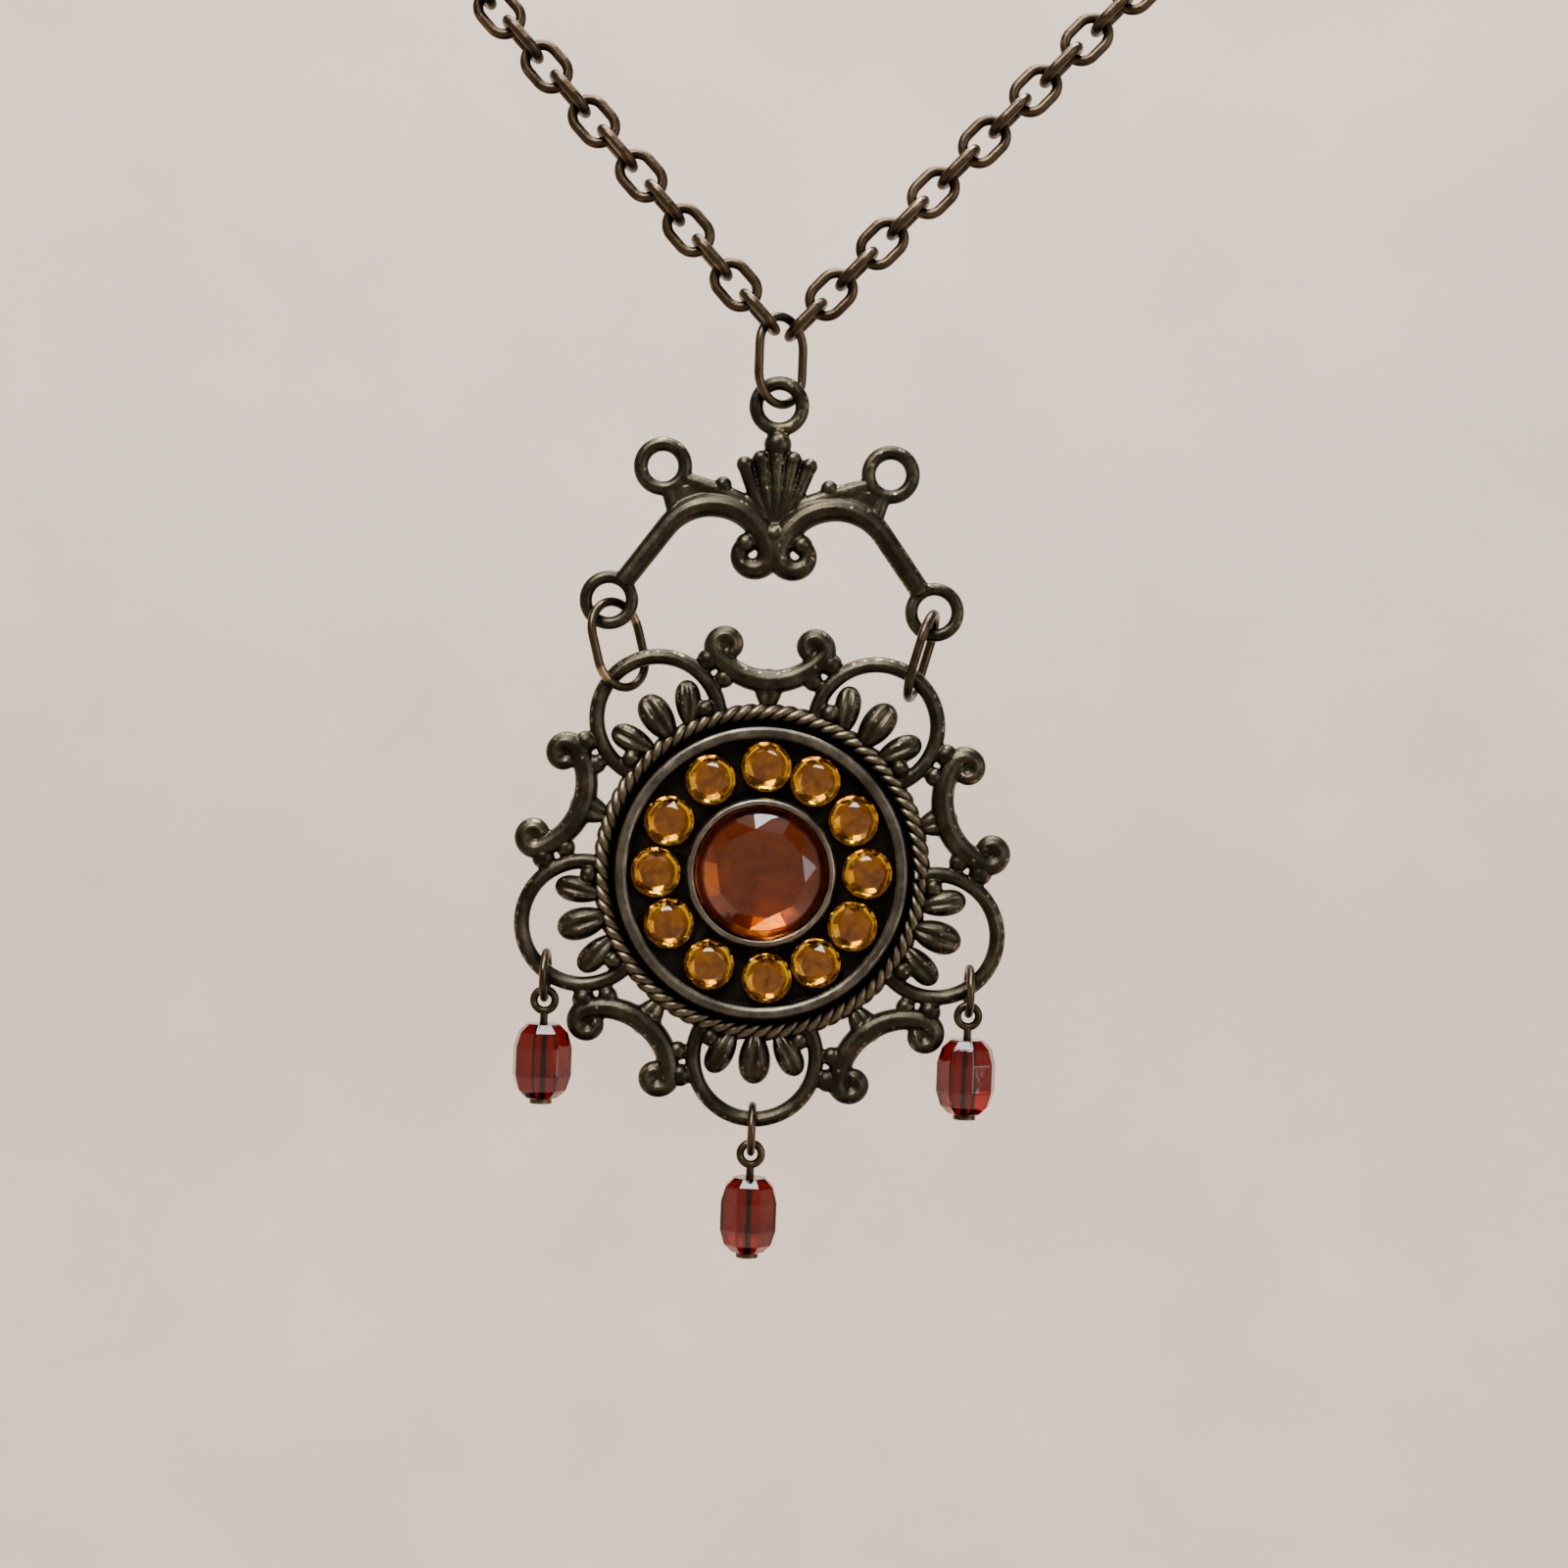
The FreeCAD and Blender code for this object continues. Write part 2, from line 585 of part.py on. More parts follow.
def connector_side(side):
    """One half of the connector: arch, curl, leg, lower eyelet, arm, ear eyelet and web."""
    hand = "right" if side > 0 else "left"
    arch_centre = FreeCAD.Vector(side * size("arch_half_span"), -size("arch_drop"), 0)
    curl_angle = size("curl_angle")
    leg_angle = size("leg_angle")
    stub_angle = size("stub_angle")
    curl_sweep = size("curl_sweep")
    reach = size("arch_radius") - size("curl_radius")
    if side > 0:
        arch_start = leg_angle
        curl_start = curl_angle
        curl_centre = on_circle(arch_centre, reach, curl_angle)
        leg_top = on_circle(arch_centre, size("arch_radius"), leg_angle)
        curl_end = on_circle(curl_centre, size("curl_radius"), curl_angle + curl_sweep)
    else:
        arch_start = 180 - curl_angle
        curl_start = 180 - curl_angle - curl_sweep
        curl_centre = on_circle(arch_centre, reach, 180 - curl_angle)
        leg_top = on_circle(arch_centre, size("arch_radius"), 180 - leg_angle)
        curl_end = on_circle(curl_centre, size("curl_radius"), curl_start)

    ear = FreeCAD.Vector(side * size("ear_half_span"), -size("ear_drop"), 0)
    low = FreeCAD.Vector(side * size("low_eyelet_half_span"), -size("low_eyelet_drop"), 0)
    leg_foot = towards(low, leg_top, size("low_eyelet_radius"))
    arm_foot = FreeCAD.Vector(side * size("arm_foot_half_span"), -size("arm_foot_drop"), 0)
    arm_ear = towards(ear, arm_foot, size("ear_radius"))
    stub_turns = [stub_angle + (curl_angle - stub_angle) * part / 4 for part in range(4)]
    arch_points = [on_circle(arch_centre, size("arch_radius"), turn if side > 0 else 180 - turn)
                   for turn in stub_turns]
    stub_foot = arch_points[0]
    stub_top = towards(ear, stub_foot, size("ear_radius"))
    bump = FreeCAD.Vector(side * size("bump_half_span"), -size("bump_drop"), 0)
    arm = "Sizes.arm_bar"
    return [
        ring_arc(f"arch_{hand}", arch_centre, "Sizes.arch_radius", "Sizes.arch_bar",
                 arch_start, curl_angle - leg_angle),
        ring_arc(f"curl_{hand}", curl_centre, "Sizes.curl_radius", "Sizes.curl_bar",
                 curl_start, curl_sweep),
        ball(f"curl_ball_{hand}", curl_end, "Sizes.curl_ball"),
        tapered_rod(f"leg_{hand}", leg_top, leg_foot, "Sizes.arch_bar * 0.98", "Sizes.leg_bar"),
        ring_arc(f"low_eyelet_{hand}", low, "Sizes.low_eyelet_radius", "Sizes.low_eyelet_bead"),
        ring_arc(f"ear_{hand}", ear, "Sizes.ear_radius", "Sizes.ear_bead"),
        rod(f"arm_{hand}", arm_ear, arm_foot, arm),
        ball(f"arm_foot_{hand}", arm_foot, arm),
        rod(f"stub_{hand}", stub_top, stub_foot, arm),
        ball(f"bump_{hand}", bump, arm),
        web(f"web_{hand}", [arm_foot, arm_ear, stub_top] + arch_points),
    ]


def add_connector():
    """The connector casting, with round bores through its two empty ears."""
    neck_top = FreeCAD.Vector(0, -size("eyelet_radius"), 0)
    neck_foot = FreeCAD.Vector(0, -size("palmette_top") - 0.1, 0)
    pieces = [
        ring_arc("top_eyelet", FreeCAD.Vector(), "Sizes.eyelet_radius", "Sizes.eyelet_bead"),
        rod("connector_neck", neck_top, neck_foot, "Sizes.eyelet_bead"),
    ]
    pieces += palmette()
    pieces += connector_side(-1)
    pieces += connector_side(1)
    casting = fuse("connector_casting", pieces)
    drills = []
    depth = FreeCAD.Vector(0, 0, 2 * size("ear_bead"))
    for side in (-1, 1):
        ear = FreeCAD.Vector(side * size("ear_half_span"), -size("ear_drop"), 0)
        drills.append(rod(f"ear_drill_{side + 2}", ear - depth, ear + depth, "Sizes.ear_bore"))
    drilled = cut("connector_drilled", casting, fuse("ear_drills", drills))
    finish(drilled, "connector", connector_place(), STAND_UP)


# ---------------------------------------------------------------- medallion

def scroll(index):
    """A scroll whose back faces the centre, both ends curled in round a ball."""
    curl_rise = size("scroll_curl_rise")
    half_span = size("scroll_curl_half_span")
    rise = curl_rise - size("scroll_back")
    # the back's circle touches both curls' circles from outside
    inner = size("scroll_curl_radius")
    radius = (half_span ** 2 + rise ** 2 - inner ** 2) / (2 * (rise - inner))
    centre = FreeCAD.Vector(0, size("scroll_back") + radius, 0)
    right = FreeCAD.Vector(half_span, curl_rise, 0)
    meet = direction_angle(centre, right)
    curl_sweep = size("scroll_curl_sweep")
    pieces = [
        ring_arc(f"scroll_back_{index}", centre, str(radius), "Sizes.scroll_bar",
                 180 - meet, 180 + 2 * meet),
    ]
    for side, start in ((1, meet), (-1, 180 - meet - curl_sweep)):
        hub = FreeCAD.Vector(side * half_span, curl_rise, 0)
        tag = f"{index}_{side + 2}"
        pieces.append(ring_arc(f"scroll_curl_{tag}", hub, "Sizes.scroll_curl_radius",
                               "Sizes.scroll_bar", start, curl_sweep))
        pieces.append(ball(f"scroll_ball_{tag}", hub, "Sizes.scroll_ball"))
    post_foot = polar(size("rope_radius"), 0)
    post_top = polar(size("scroll_back"), 0)
    pieces.append(rod(f"scroll_post_{index}", post_foot, post_top, "Sizes.scroll_bar"))
    return pieces


def lobe(index):
    """An arch on the rope ring beside a scroll, three leaves in it, bridged to both scrolls."""
    clock = 180 / size("petals")
    centre = polar(size("lobe_centre"), clock)
    to_rope = size("rope_radius") ** 2 - size("lobe_centre") ** 2 - size("lobe_radius") ** 2
    half_sweep = math.degrees(math.acos(to_rope / (2 * size("lobe_centre") * size("lobe_radius"))))
    pieces = [
        ring_arc(f"lobe_arch_{index}", centre, "Sizes.lobe_radius", "Sizes.scroll_bar",
                 90 - clock - half_sweep, 2 * half_sweep),
    ]
    leaves = (("middle", 0, "middle_leaf_reach"), ("left", -1, "side_leaf_reach"),
              ("right", 1, "side_leaf_reach"))
    for word, side, reach in leaves:
        foot_turn = side * size("leaf_turn")
        tip_turn = foot_turn + side * size("leaf_splay")
        foot = polar(size("leaf_foot"), clock + foot_turn)
        tip = polar(size(reach), clock + tip_turn)
        pieces.append(tapered_rod(f"leaf_{word}_{index}", foot, tip,
                                  "Sizes.leaf_base", "Sizes.leaf_tip"))
        pieces.append(ball(f"leaf_tip_{word}_{index}", tip, "Sizes.leaf_tip * 1.08"))
    for side in (-1, 1):
        shoulder = polar(size("bridge_ring"), clock - side * (clock - size("bridge_turn")))
        pieces.append(ball(f"bridge_{index}_{side + 2}", shoulder, "Sizes.bridge_radius"))
    return pieces


def add_medallion_frame():
    """The medallion's casting: back plate, rope ring, five scrolls and five lobes."""
    disc = doc.addObject("Part::Cylinder", "plate_disc")
    bind(disc, Radius="Sizes.rope_radius", Height="Sizes.plate_thickness")
    bore = doc.addObject("Part::Cylinder", "plate_bore_tool")
    bind(bore, Radius="Sizes.plate_bore", Height="Sizes.plate_thickness")
    plate = cut("plate", disc, bore)
    place(plate, FreeCAD.Vector(0, 0, size("plate_front") - size("plate_thickness")))
    centre = FreeCAD.Vector()
    pieces = [plate, ring_arc("rope_ring", centre, "Sizes.rope_radius", "Sizes.rope_bead")]
    petals = int(size("petals"))
    for index in range(petals):
        petal = fuse(f"petal_{index + 1}", scroll(index + 1) + lobe(index + 1))
        pieces.append(place(petal, centre, FreeCAD.Rotation(UPWARD, -360 / petals * index)))
    casting = fuse("medallion_frame", pieces)
    finish(casting, "medallion_frame", medallion_place(), STAND_UP)


def lifted(height):
    """A place in front of the medallion's centre."""
    return medallion_place() + FreeCAD.Vector(0, -height, 0)


def add_stone_cup():
    """The round dish that holds the stones."""
    body = doc.addObject("PartDesign::Body", "stone_cup")
    floor = circles_sketch(body, "cup_floor_sketch", ["Sizes.cup_radius"])
    pad(body, "cup_floor_pad", floor, "Sizes.cup_floor")
    wall = circles_sketch(body, "cup_wall_sketch", ["Sizes.cup_radius", "Sizes.cup_inside"])
    pad(body, "cup_wall_pad", wall, "Sizes.cup_height")
    chamfer_rim(body, "cup_rim", size("cup_height"))
    finish(body, "stone_cup", lifted(size("plate_front")), STAND_UP)


def add_centre_bezel():
    """The thin ring round the centre stone, standing on the cup's floor."""
    body = doc.addObject("PartDesign::Body", "centre_bezel")
    wall = circles_sketch(body, "bezel_sketch", ["Sizes.bezel_radius", "Sizes.bezel_inside"])
    pad(body, "bezel_pad", wall, "Sizes.bezel_height")
    chamfer_rim(body, "bezel_rim", size("bezel_height"))
    finish(body, "centre_bezel", lifted(stone_seat()), STAND_UP)


def chamfer_rim(body, name, height):
    """Chamfers the round edges at a height above a body's base."""
    doc.recompute()
    base = body.Tip
    rims = []
    for number, edge in enumerate(base.Shape.Edges, start=1):
        if abs(edge.BoundBox.ZMin - height) < 1e-6 and abs(edge.BoundBox.ZMax - height) < 1e-6:
            rims.append(f"Edge{number}")
    chamfer = body.newObject("PartDesign::Chamfer", name)
    chamfer.Base = (base, rims)
    bind(chamfer, Size="Sizes.cup_chamfer")


def stone_seat():
    """Height of the cup's inside floor, in front of the medallion's centre plane."""
    return size("plate_front") + size("cup_floor")


def faceted(name, sides, sections, shift=FreeCAD.Vector()):
    """A solid with flat facets between regular polygons, each a height and a radius."""
    rims = []
    for number, (height, radius) in enumerate(sections, start=1):
        rim = doc.addObject("Part::RegularPolygon", f"{name}_rim_{number}")
        rim.Polygon = sides
        bind(rim, Circumradius=radius)
        rims.append(place(rim, shift + FreeCAD.Vector(0, 0, height)))
    stone = doc.addObject("Part::Loft", name)
    stone.Sections = rims
    stone.Solid = True
    stone.Ruled = True
    return stone


def cut_sections(stone_cut, radius):
    """The sections of a stone's cut, as heights and expressions on the stone's radius."""
    return [(height, f"Sizes.{radius} * {share}") for height, share in stone_cut]


def add_stones():
    """The centre stone, and twelve small ones set round it by hand."""
    centre = faceted("centre_stone", 16, cut_sections(CENTRE_STONE_CUT, "centre_stone_radius"))
    finish(centre, "centre_stone", lifted(stone_seat()), STAND_UP)
    for number, clock in enumerate(STONE_ANGLES, start=1):
        label = f"amber_stone_{number:02d}"
        stone = faceted(label, 12, cut_sections(SMALL_STONE_CUT, "small_stone_radius"))
        spot = polar(size("small_stone_ring"), clock)
        finish(stone, label, lifted(stone_seat()) + FreeCAD.Vector(spot.x, 0, spot.y), STAND_UP)


# ---------------------------------------------------------------- drops

def lobe_edge(across, clock, bar_side):
    """Height of a lobe's arch at a distance across, on its outer (1) or inner (-1) side."""
    centre = polar(size("lobe_centre"), clock)
    radius = size("lobe_radius") + bar_side * size("scroll_bar")
    return centre.y - math.sqrt(radius ** 2 - (across - centre.x) ** 2)


def drop_ring_centre(side):
    """Centre of a drop's ring, its top wire just inside the lobe's arch."""
    wire = size("drop_ring_wire") / 2
    petal = 360 / size("petals")
    across = abs(side) * size("side_drop_x")
    clock = 180 - abs(side) * petal
    outer_edge_of_wire = across + abs(side) * wire
    top_wire = lobe_edge(outer_edge_of_wire, clock, -1) + wire + size("drop_play")
    low = top_wire - size("drop_ring_radius")
    return medallion_place() + FreeCAD.Vector(side * across, 0, low)


def drop_pin_place(side):
    """Centre of a headpin's eye, which hangs on the bottom wire of its ring."""
    between_wires = (size("drop_ring_wire") + size("pin_wire")) / 2 + size("drop_play")
    down = size("drop_ring_radius") + size("pin_eye_radius") - between_wires
    return drop_ring_centre(side) - FreeCAD.Vector(0, 0, down)


def bead_top():
    """How far below the centre of the eye the bead starts."""
    return size("pin_eye_radius") + size("pin_wire") / 2 + size("pin_neck")


def add_headpin(label, position):
    """A headpin: eye, straight wire and flat head."""
    head_top = bead_top() + size("bead_length") + 2 * size("drop_play")
    head_foot = FreeCAD.Vector(0, -head_top - size("pin_head_height"), 0)
    wire = "Sizes.pin_wire / 2"
    pin = fuse(label, [
        ring_arc(f"{label}_eye", FreeCAD.Vector(), "Sizes.pin_eye_radius", wire),
        rod(f"{label}_wire", head_foot, FreeCAD.Vector(0, -size("pin_eye_radius"), 0), wire),
        rod(f"{label}_head", head_foot, FreeCAD.Vector(0, -head_top, 0), "Sizes.pin_head_radius"),
    ])
    finish(pin, label, position, STAND_UP)


def add_bead(label, position):
    """A faceted barrel bead with a hole along its axis, its top at the given point."""
    length = size("bead_length")
    sections = [(share * length, f"Sizes.bead_radius * {girth}") for share, girth in BEAD_CUT]
    barrel = faceted(f"{label}_barrel", 8, sections)
    bore = rod(f"{label}_bore", FreeCAD.Vector(), FreeCAD.Vector(0, 0, length), "Sizes.bead_bore")
    bead = cut(label, barrel, bore)
    finish(bead, label, position - FreeCAD.Vector(0, 0, length))


def add_drops():
    """Three drops, each a ring over a lobe's arch, a headpin on the ring and a bead on the pin."""
    edge_on = FreeCAD.Rotation(FreeCAD.Vector(0, 1, 0), 90)
    for side, word in ((-1, "left"), (0, "centre"), (1, "right")):
        label = f"drop_ring_{word}"
        ring = ring_arc(label, FreeCAD.Vector(), "Sizes.drop_ring_radius",
                        "Sizes.drop_ring_wire / 2")
        finish(ring, label, drop_ring_centre(side), edge_on)
        eye = drop_pin_place(side)
        add_headpin(f"headpin_{word}", eye)
        top = eye - FreeCAD.Vector(0, 0, bead_top() + size("drop_play"))
        add_bead(f"bead_{word}", top)


# ---------------------------------------------------------------- clasp

def claw_place():
    """Centre of the claw's nose."""
    return FreeCAD.Vector(size("claw_x"), 0, 0)


def add_clasp_body():
    """The claw: a round nose, a spine, a slotted housing for the lever and a tail eye."""
    housing = doc.addObject("PartDesign::Body", "clasp_housing")
    outline = outline_sketch(housing, "housing_sketch", HOUSING_CORNERS)
    pad(housing, "housing_pad", outline, "Sizes.housing_thickness", midplane=True)
    doc.recompute()
    slot = housing.newObject("PartDesign::Pocket", "lever_slot")
    slot.Profile = outline_sketch(housing, "slot_sketch", SLOT_CORNERS)
    slot.Midplane = True
    bind(slot, Length="Sizes.slot_width")
    bore = housing.newObject("PartDesign::Pocket", "rivet_bore")
    bore.Profile = circles_sketch(housing, "rivet_bore_sketch", ["Sizes.rivet_radius"],
                                  ("Sizes.rivet_x", "Sizes.rivet_y"))
    bore.Midplane = True
    bind(bore, Length="Sizes.housing_thickness * 2")
    nose_foot = FreeCAD.Vector(0, -size("claw_radius"), 0)
    spine_end = FreeCAD.Vector(*SPINE_END, 0)
    centre = FreeCAD.Vector()
    tail = FreeCAD.Vector(size("tail_x"), 0, 0)
    tip = on_circle(centre, size("claw_radius"), size("claw_sweep") - 90)
    claw = fuse("clasp_body", [
        housing,
        ring_arc("claw_nose", centre, "Sizes.claw_radius", "Sizes.claw_bar",
                 -90, size("claw_sweep")),
        ball("claw_tip", tip, "Sizes.claw_bar"),
        rod("claw_spine", nose_foot, spine_end, "Sizes.claw_bar"),
        ring_arc("claw_tail", tail, "Sizes.tail_radius", "Sizes.tail_bar"),
    ])
    finish(claw, "clasp_body", claw_place(), STAND_UP)


def add_clasp_lever():
    """The lever that closes the claw from inside, with a thumb tab above the housing."""
    body = doc.addObject("PartDesign::Body", "clasp_lever")
    outline = outline_sketch(body, "lever_sketch", LEVER_CORNERS)
    pad(body, "lever_pad", outline, "Sizes.lever_thickness")
    doc.recompute()
    bore = body.newObject("PartDesign::Pocket", "lever_bore")
    bore.Profile = circles_sketch(body, "lever_bore_sketch", ["Sizes.lever_bore"],
                                  ("Sizes.rivet_x", "Sizes.rivet_y"))
    bore.Midplane = True
    bind(bore, Length="Sizes.lever_thickness * 4")
    finish(body, "clasp_lever", claw_place() - FreeCAD.Vector(0, size("lever_offset"), 0), STAND_UP)


def add_clasp_rivet():
    """The rivet that the lever turns on."""
    half = FreeCAD.Vector(0, 0, size("housing_thickness") / 2)
    rivet = rod("clasp_rivet", half * -1, half, "Sizes.rivet_radius")
    centre = claw_place() + FreeCAD.Vector(size("rivet_x"), 0, size("rivet_y"))
    shift = STAND_UP.multVec(half * -1)
    finish(rivet, "clasp_rivet", centre + shift, STAND_UP)


def add_clasp_spring():
    """The small wire spring behind the lever, a turn round the rivet and two legs."""
    rivet = FreeCAD.Vector(size("rivet_x"), size("rivet_y"), -size("spring_back"))
    fixed_start = on_circle(rivet, size("spring_coil"), 180)
    free_start = on_circle(rivet, size("spring_coil"), 0)
    fixed_end = on_circle(fixed_start, size("spring_leg"), -90)
    free_end = on_circle(free_start, size("spring_leg"), size("spring_angle"))
    leg = "Sizes.spring_wire / 2 * 0.9"
    spring = fuse("clasp_spring", [
        ring_arc("spring_turn", rivet, "Sizes.spring_coil", "Sizes.spring_wire / 2"),
        rod("spring_fixed_leg", fixed_start, fixed_end, leg),
        rod("spring_free_leg", free_start, free_end, leg),
    ])
    finish(spring, "clasp_spring", claw_place(), STAND_UP)


def add_clasp_rings():
    """The ring on the clasp's tail, and the end ring that the claw holds."""
    flat = FreeCAD.Rotation()
    tail_hole = size("tail_radius") - size("tail_bar")
    wire_shift = tail_hole - size("link_wire") / 2 - size("clasp_play")
    tail_ring_x = size("claw_x") + size("tail_x") - wire_shift - size("clasp_ring_radius")
    tail_ring = ring_arc("clasp_ring", FreeCAD.Vector(), "Sizes.clasp_ring_radius",
                         "Sizes.link_wire / 2")
    finish(tail_ring, "clasp_ring", FreeCAD.Vector(tail_ring_x, 0, 0), flat)
    end_ring_x = size("claw_x") + claw_wire_x() + size("end_ring_radius")
    end_ring = ring_arc("end_ring", FreeCAD.Vector(), "Sizes.end_ring_radius",
                        "Sizes.end_ring_wire / 2")
    finish(end_ring, "end_ring", FreeCAD.Vector(end_ring_x, 0, 0), flat)


# ---------------------------------------------------------------- build and write

def add_bail_and_side_rings():
    """The bail ring under the chain, and the two rings that carry the medallion."""
    half = FreeCAD.Vector(0, 0, oval_reach() / 2)
    bail_top = FreeCAD.Vector(0, -size("loop_depth"), -size("loop_drop"))
    add_oval_ring("bail_ring", bail_top - half, size("oval_yaw"), 0)
    for side, word, yaw in ((-1, "left", "oval_yaw"), (1, "right", "side_ring_yaw")):
        middle = (side_ring_top(side) + side_ring_bottom(side)) * 0.5
        add_oval_ring(f"side_ring_{word}", middle, size(yaw), side * size("side_ring_lean"))


def check_and_write():
    """Stops on any failed object, then writes one STEP file for each sub-part."""
    doc.recompute()
    for item in doc.Objects:
        if "Invalid" in item.State or "Error" in item.State:
            raise RuntimeError(f"{item.Name} failed: {item.State}")
    for item in sub_parts:
        if item.Shape.isNull() or not item.Shape.isValid():
            raise RuntimeError(f"{item.Label} has no valid shape")
    os.makedirs("parts", exist_ok=True)
    for item in sub_parts:
        shape = item.Shape
        print(f"{item.Label}: {len(shape.Solids)} solids, {shape.Volume:.2f} mm3")
        shape.exportStep(f"parts/{item.Label}.step")


add_chain()
add_bail_and_side_rings()
add_connector()
add_medallion_frame()
add_stone_cup()
add_centre_bezel()
add_stones()
add_drops()
add_clasp_body()
add_clasp_lever()
add_clasp_rivet()
add_clasp_spring()
add_clasp_rings()
check_and_write()
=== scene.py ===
import json
import math

import bmesh
import bpy
from mathutils import Matrix, Vector


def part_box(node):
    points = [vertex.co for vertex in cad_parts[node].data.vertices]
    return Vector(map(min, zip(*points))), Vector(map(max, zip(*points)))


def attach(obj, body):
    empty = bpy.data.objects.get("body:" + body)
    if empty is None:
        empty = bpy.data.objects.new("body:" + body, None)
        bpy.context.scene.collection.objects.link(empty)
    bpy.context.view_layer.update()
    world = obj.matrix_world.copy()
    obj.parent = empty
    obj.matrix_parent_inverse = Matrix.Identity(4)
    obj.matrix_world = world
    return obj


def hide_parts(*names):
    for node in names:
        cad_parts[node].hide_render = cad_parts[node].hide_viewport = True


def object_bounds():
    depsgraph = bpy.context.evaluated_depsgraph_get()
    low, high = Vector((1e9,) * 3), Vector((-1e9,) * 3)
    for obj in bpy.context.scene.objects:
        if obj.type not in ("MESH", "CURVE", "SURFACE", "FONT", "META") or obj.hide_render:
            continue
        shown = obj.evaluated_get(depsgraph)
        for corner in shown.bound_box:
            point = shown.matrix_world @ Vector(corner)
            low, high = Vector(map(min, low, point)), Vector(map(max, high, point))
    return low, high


# Pendant necklace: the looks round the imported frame.
# The flat pieces are shaped in millimetres in their own XY plane, x to the right, y up and
# z towards the viewer, and are then stood up in the plane of the pendant.

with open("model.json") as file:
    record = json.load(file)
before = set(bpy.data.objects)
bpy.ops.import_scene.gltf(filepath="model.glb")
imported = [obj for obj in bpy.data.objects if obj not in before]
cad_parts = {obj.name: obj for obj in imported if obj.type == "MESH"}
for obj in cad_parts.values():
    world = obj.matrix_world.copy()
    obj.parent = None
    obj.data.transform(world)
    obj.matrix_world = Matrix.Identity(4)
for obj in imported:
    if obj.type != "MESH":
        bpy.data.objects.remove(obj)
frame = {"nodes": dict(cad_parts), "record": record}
cad_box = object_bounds()

MM = 0.001
# the first spoke of a turned part stands off the diagonals by this share of a step: spokes
# that mirror each other there would give a false wear streak
LATHE_START = 0.37
STAND_UP = Matrix.Rotation(math.radians(90), 4, "X")

# medallion, in millimetres from its centre
PETALS = 5
ROPE_RADIUS = 12.0
ROPE_STRANDS = 3
ROPE_TWISTS = 25
STEPS_PER_TWIST = 14
STRAND_OFFSET = 0.36
STRAND_RADIUS = 0.42
SCROLL_BACK = 14.4
SCROLL_CURL = Vector((3.3, 17.0))
SCROLL_CURL_RADIUS = 1.0
LOBE_CENTRE = 14.0
LOBE_RADIUS = 4.65
LOBE_BAR = 0.61
PLATE_FRONT = -0.1
PLATE_BACK = -0.9
PLATE_BORE = 7.0
CUP_OUTSIDE = 10.95
CUP_INSIDE = 10.05
CUP_FLOOR_TOP = 0.6
STONE_SEAT = 0.4
STONE_RING = 7.95
STONE_ANGLES = (0.5, 28.5, 58.5, 88.5, 118.5, 147, 175, 207.5, 239, 268, 297, 329)
SMALL_STONE_RADIUS = 1.9
CENTRE_STONE_RADIUS = 5.0

# a stone below its crown, in millimetres above its seat: the girdle's height, the (radius,
# height) rows of facets inside it, the tip's height, and the number of main facets round
SMALL_STONE = {"girdle": 0.5, "pavilion": ((1.15, 0.22),), "low": 0.08, "sides": 8}
CENTRE_STONE = {"girdle": 0.85, "pavilion": ((4.0, 0.62), (2.2, 0.35)), "low": 0.12, "sides": 10}

# connector, in millimetres from its top eyelet
EYELET_RADIUS = 1.75
EYELET_BAR = 0.55
EARS = Vector((8.6, -4.85))
EAR_RADIUS = 1.68
EAR_BAR = 0.56
LOW_EYELETS = Vector((12.3, -15.1))
LOW_EYELET_BAR = 0.5
ARCH_CENTRE = Vector((4.6, -12.0))
ARCH_RADIUS = 4.4
LEG_ANGLE = 37.7
CURL_ANGLE = 165
CURL_RADIUS = 1.3
CURL_SWEEP = 250

# a bead's outline, as (radius, height) points from its middle
BEAD_SIDES = 8
BEAD_PROFILE = ((0.36, -2.8), (1.24, -2.8), (1.92, -2.18), (2.28, -1.05),
                (2.28, 1.05), (1.92, 2.18), (1.24, 2.8), (0.36, 2.8))

GLASS_IOR = 1.54

# stage and camera, in metres and degrees, but the lens in millimetres
FLOOR_DROP = 0.4
WALL_RADIUS = 1.1
WALL_BEND = 0.35
WALL_RISE = 0.75
FLAT_RADIUS = 0.3
BEND_STEPS = 12
STAGE_SIDES = 96
CAMERA_LENS = 52
CAMERA_ROLL = 2.2
SHOWN_WIDTH = 118.4 * MM
AIM_RIGHT = 1.7 * MM
AIM_UP = 6.66 * MM

# lights on the pendant: name, place from its centre in metres, size, watts and colour
PENDANT_LIGHTS = (
    ("key", (-0.16, -0.5, 0.6), 0.3, 15, (1.0, 0.96, 0.90)),
    ("fill", (0.6, -0.5, 0.1), 0.5, 3, (0.95, 0.97, 1.0)),
    ("top", (0.05, -0.05, 0.75), 0.4, 9, (1, 1, 1)),
)
# lights on the backdrop: name, side (1 behind the pendant, -1 before it) and watts
WALL_LIGHTS = (("back_wall", 1, 24), ("front_wall", -1, 1))


# ---------------------------------------------------------------- node materials

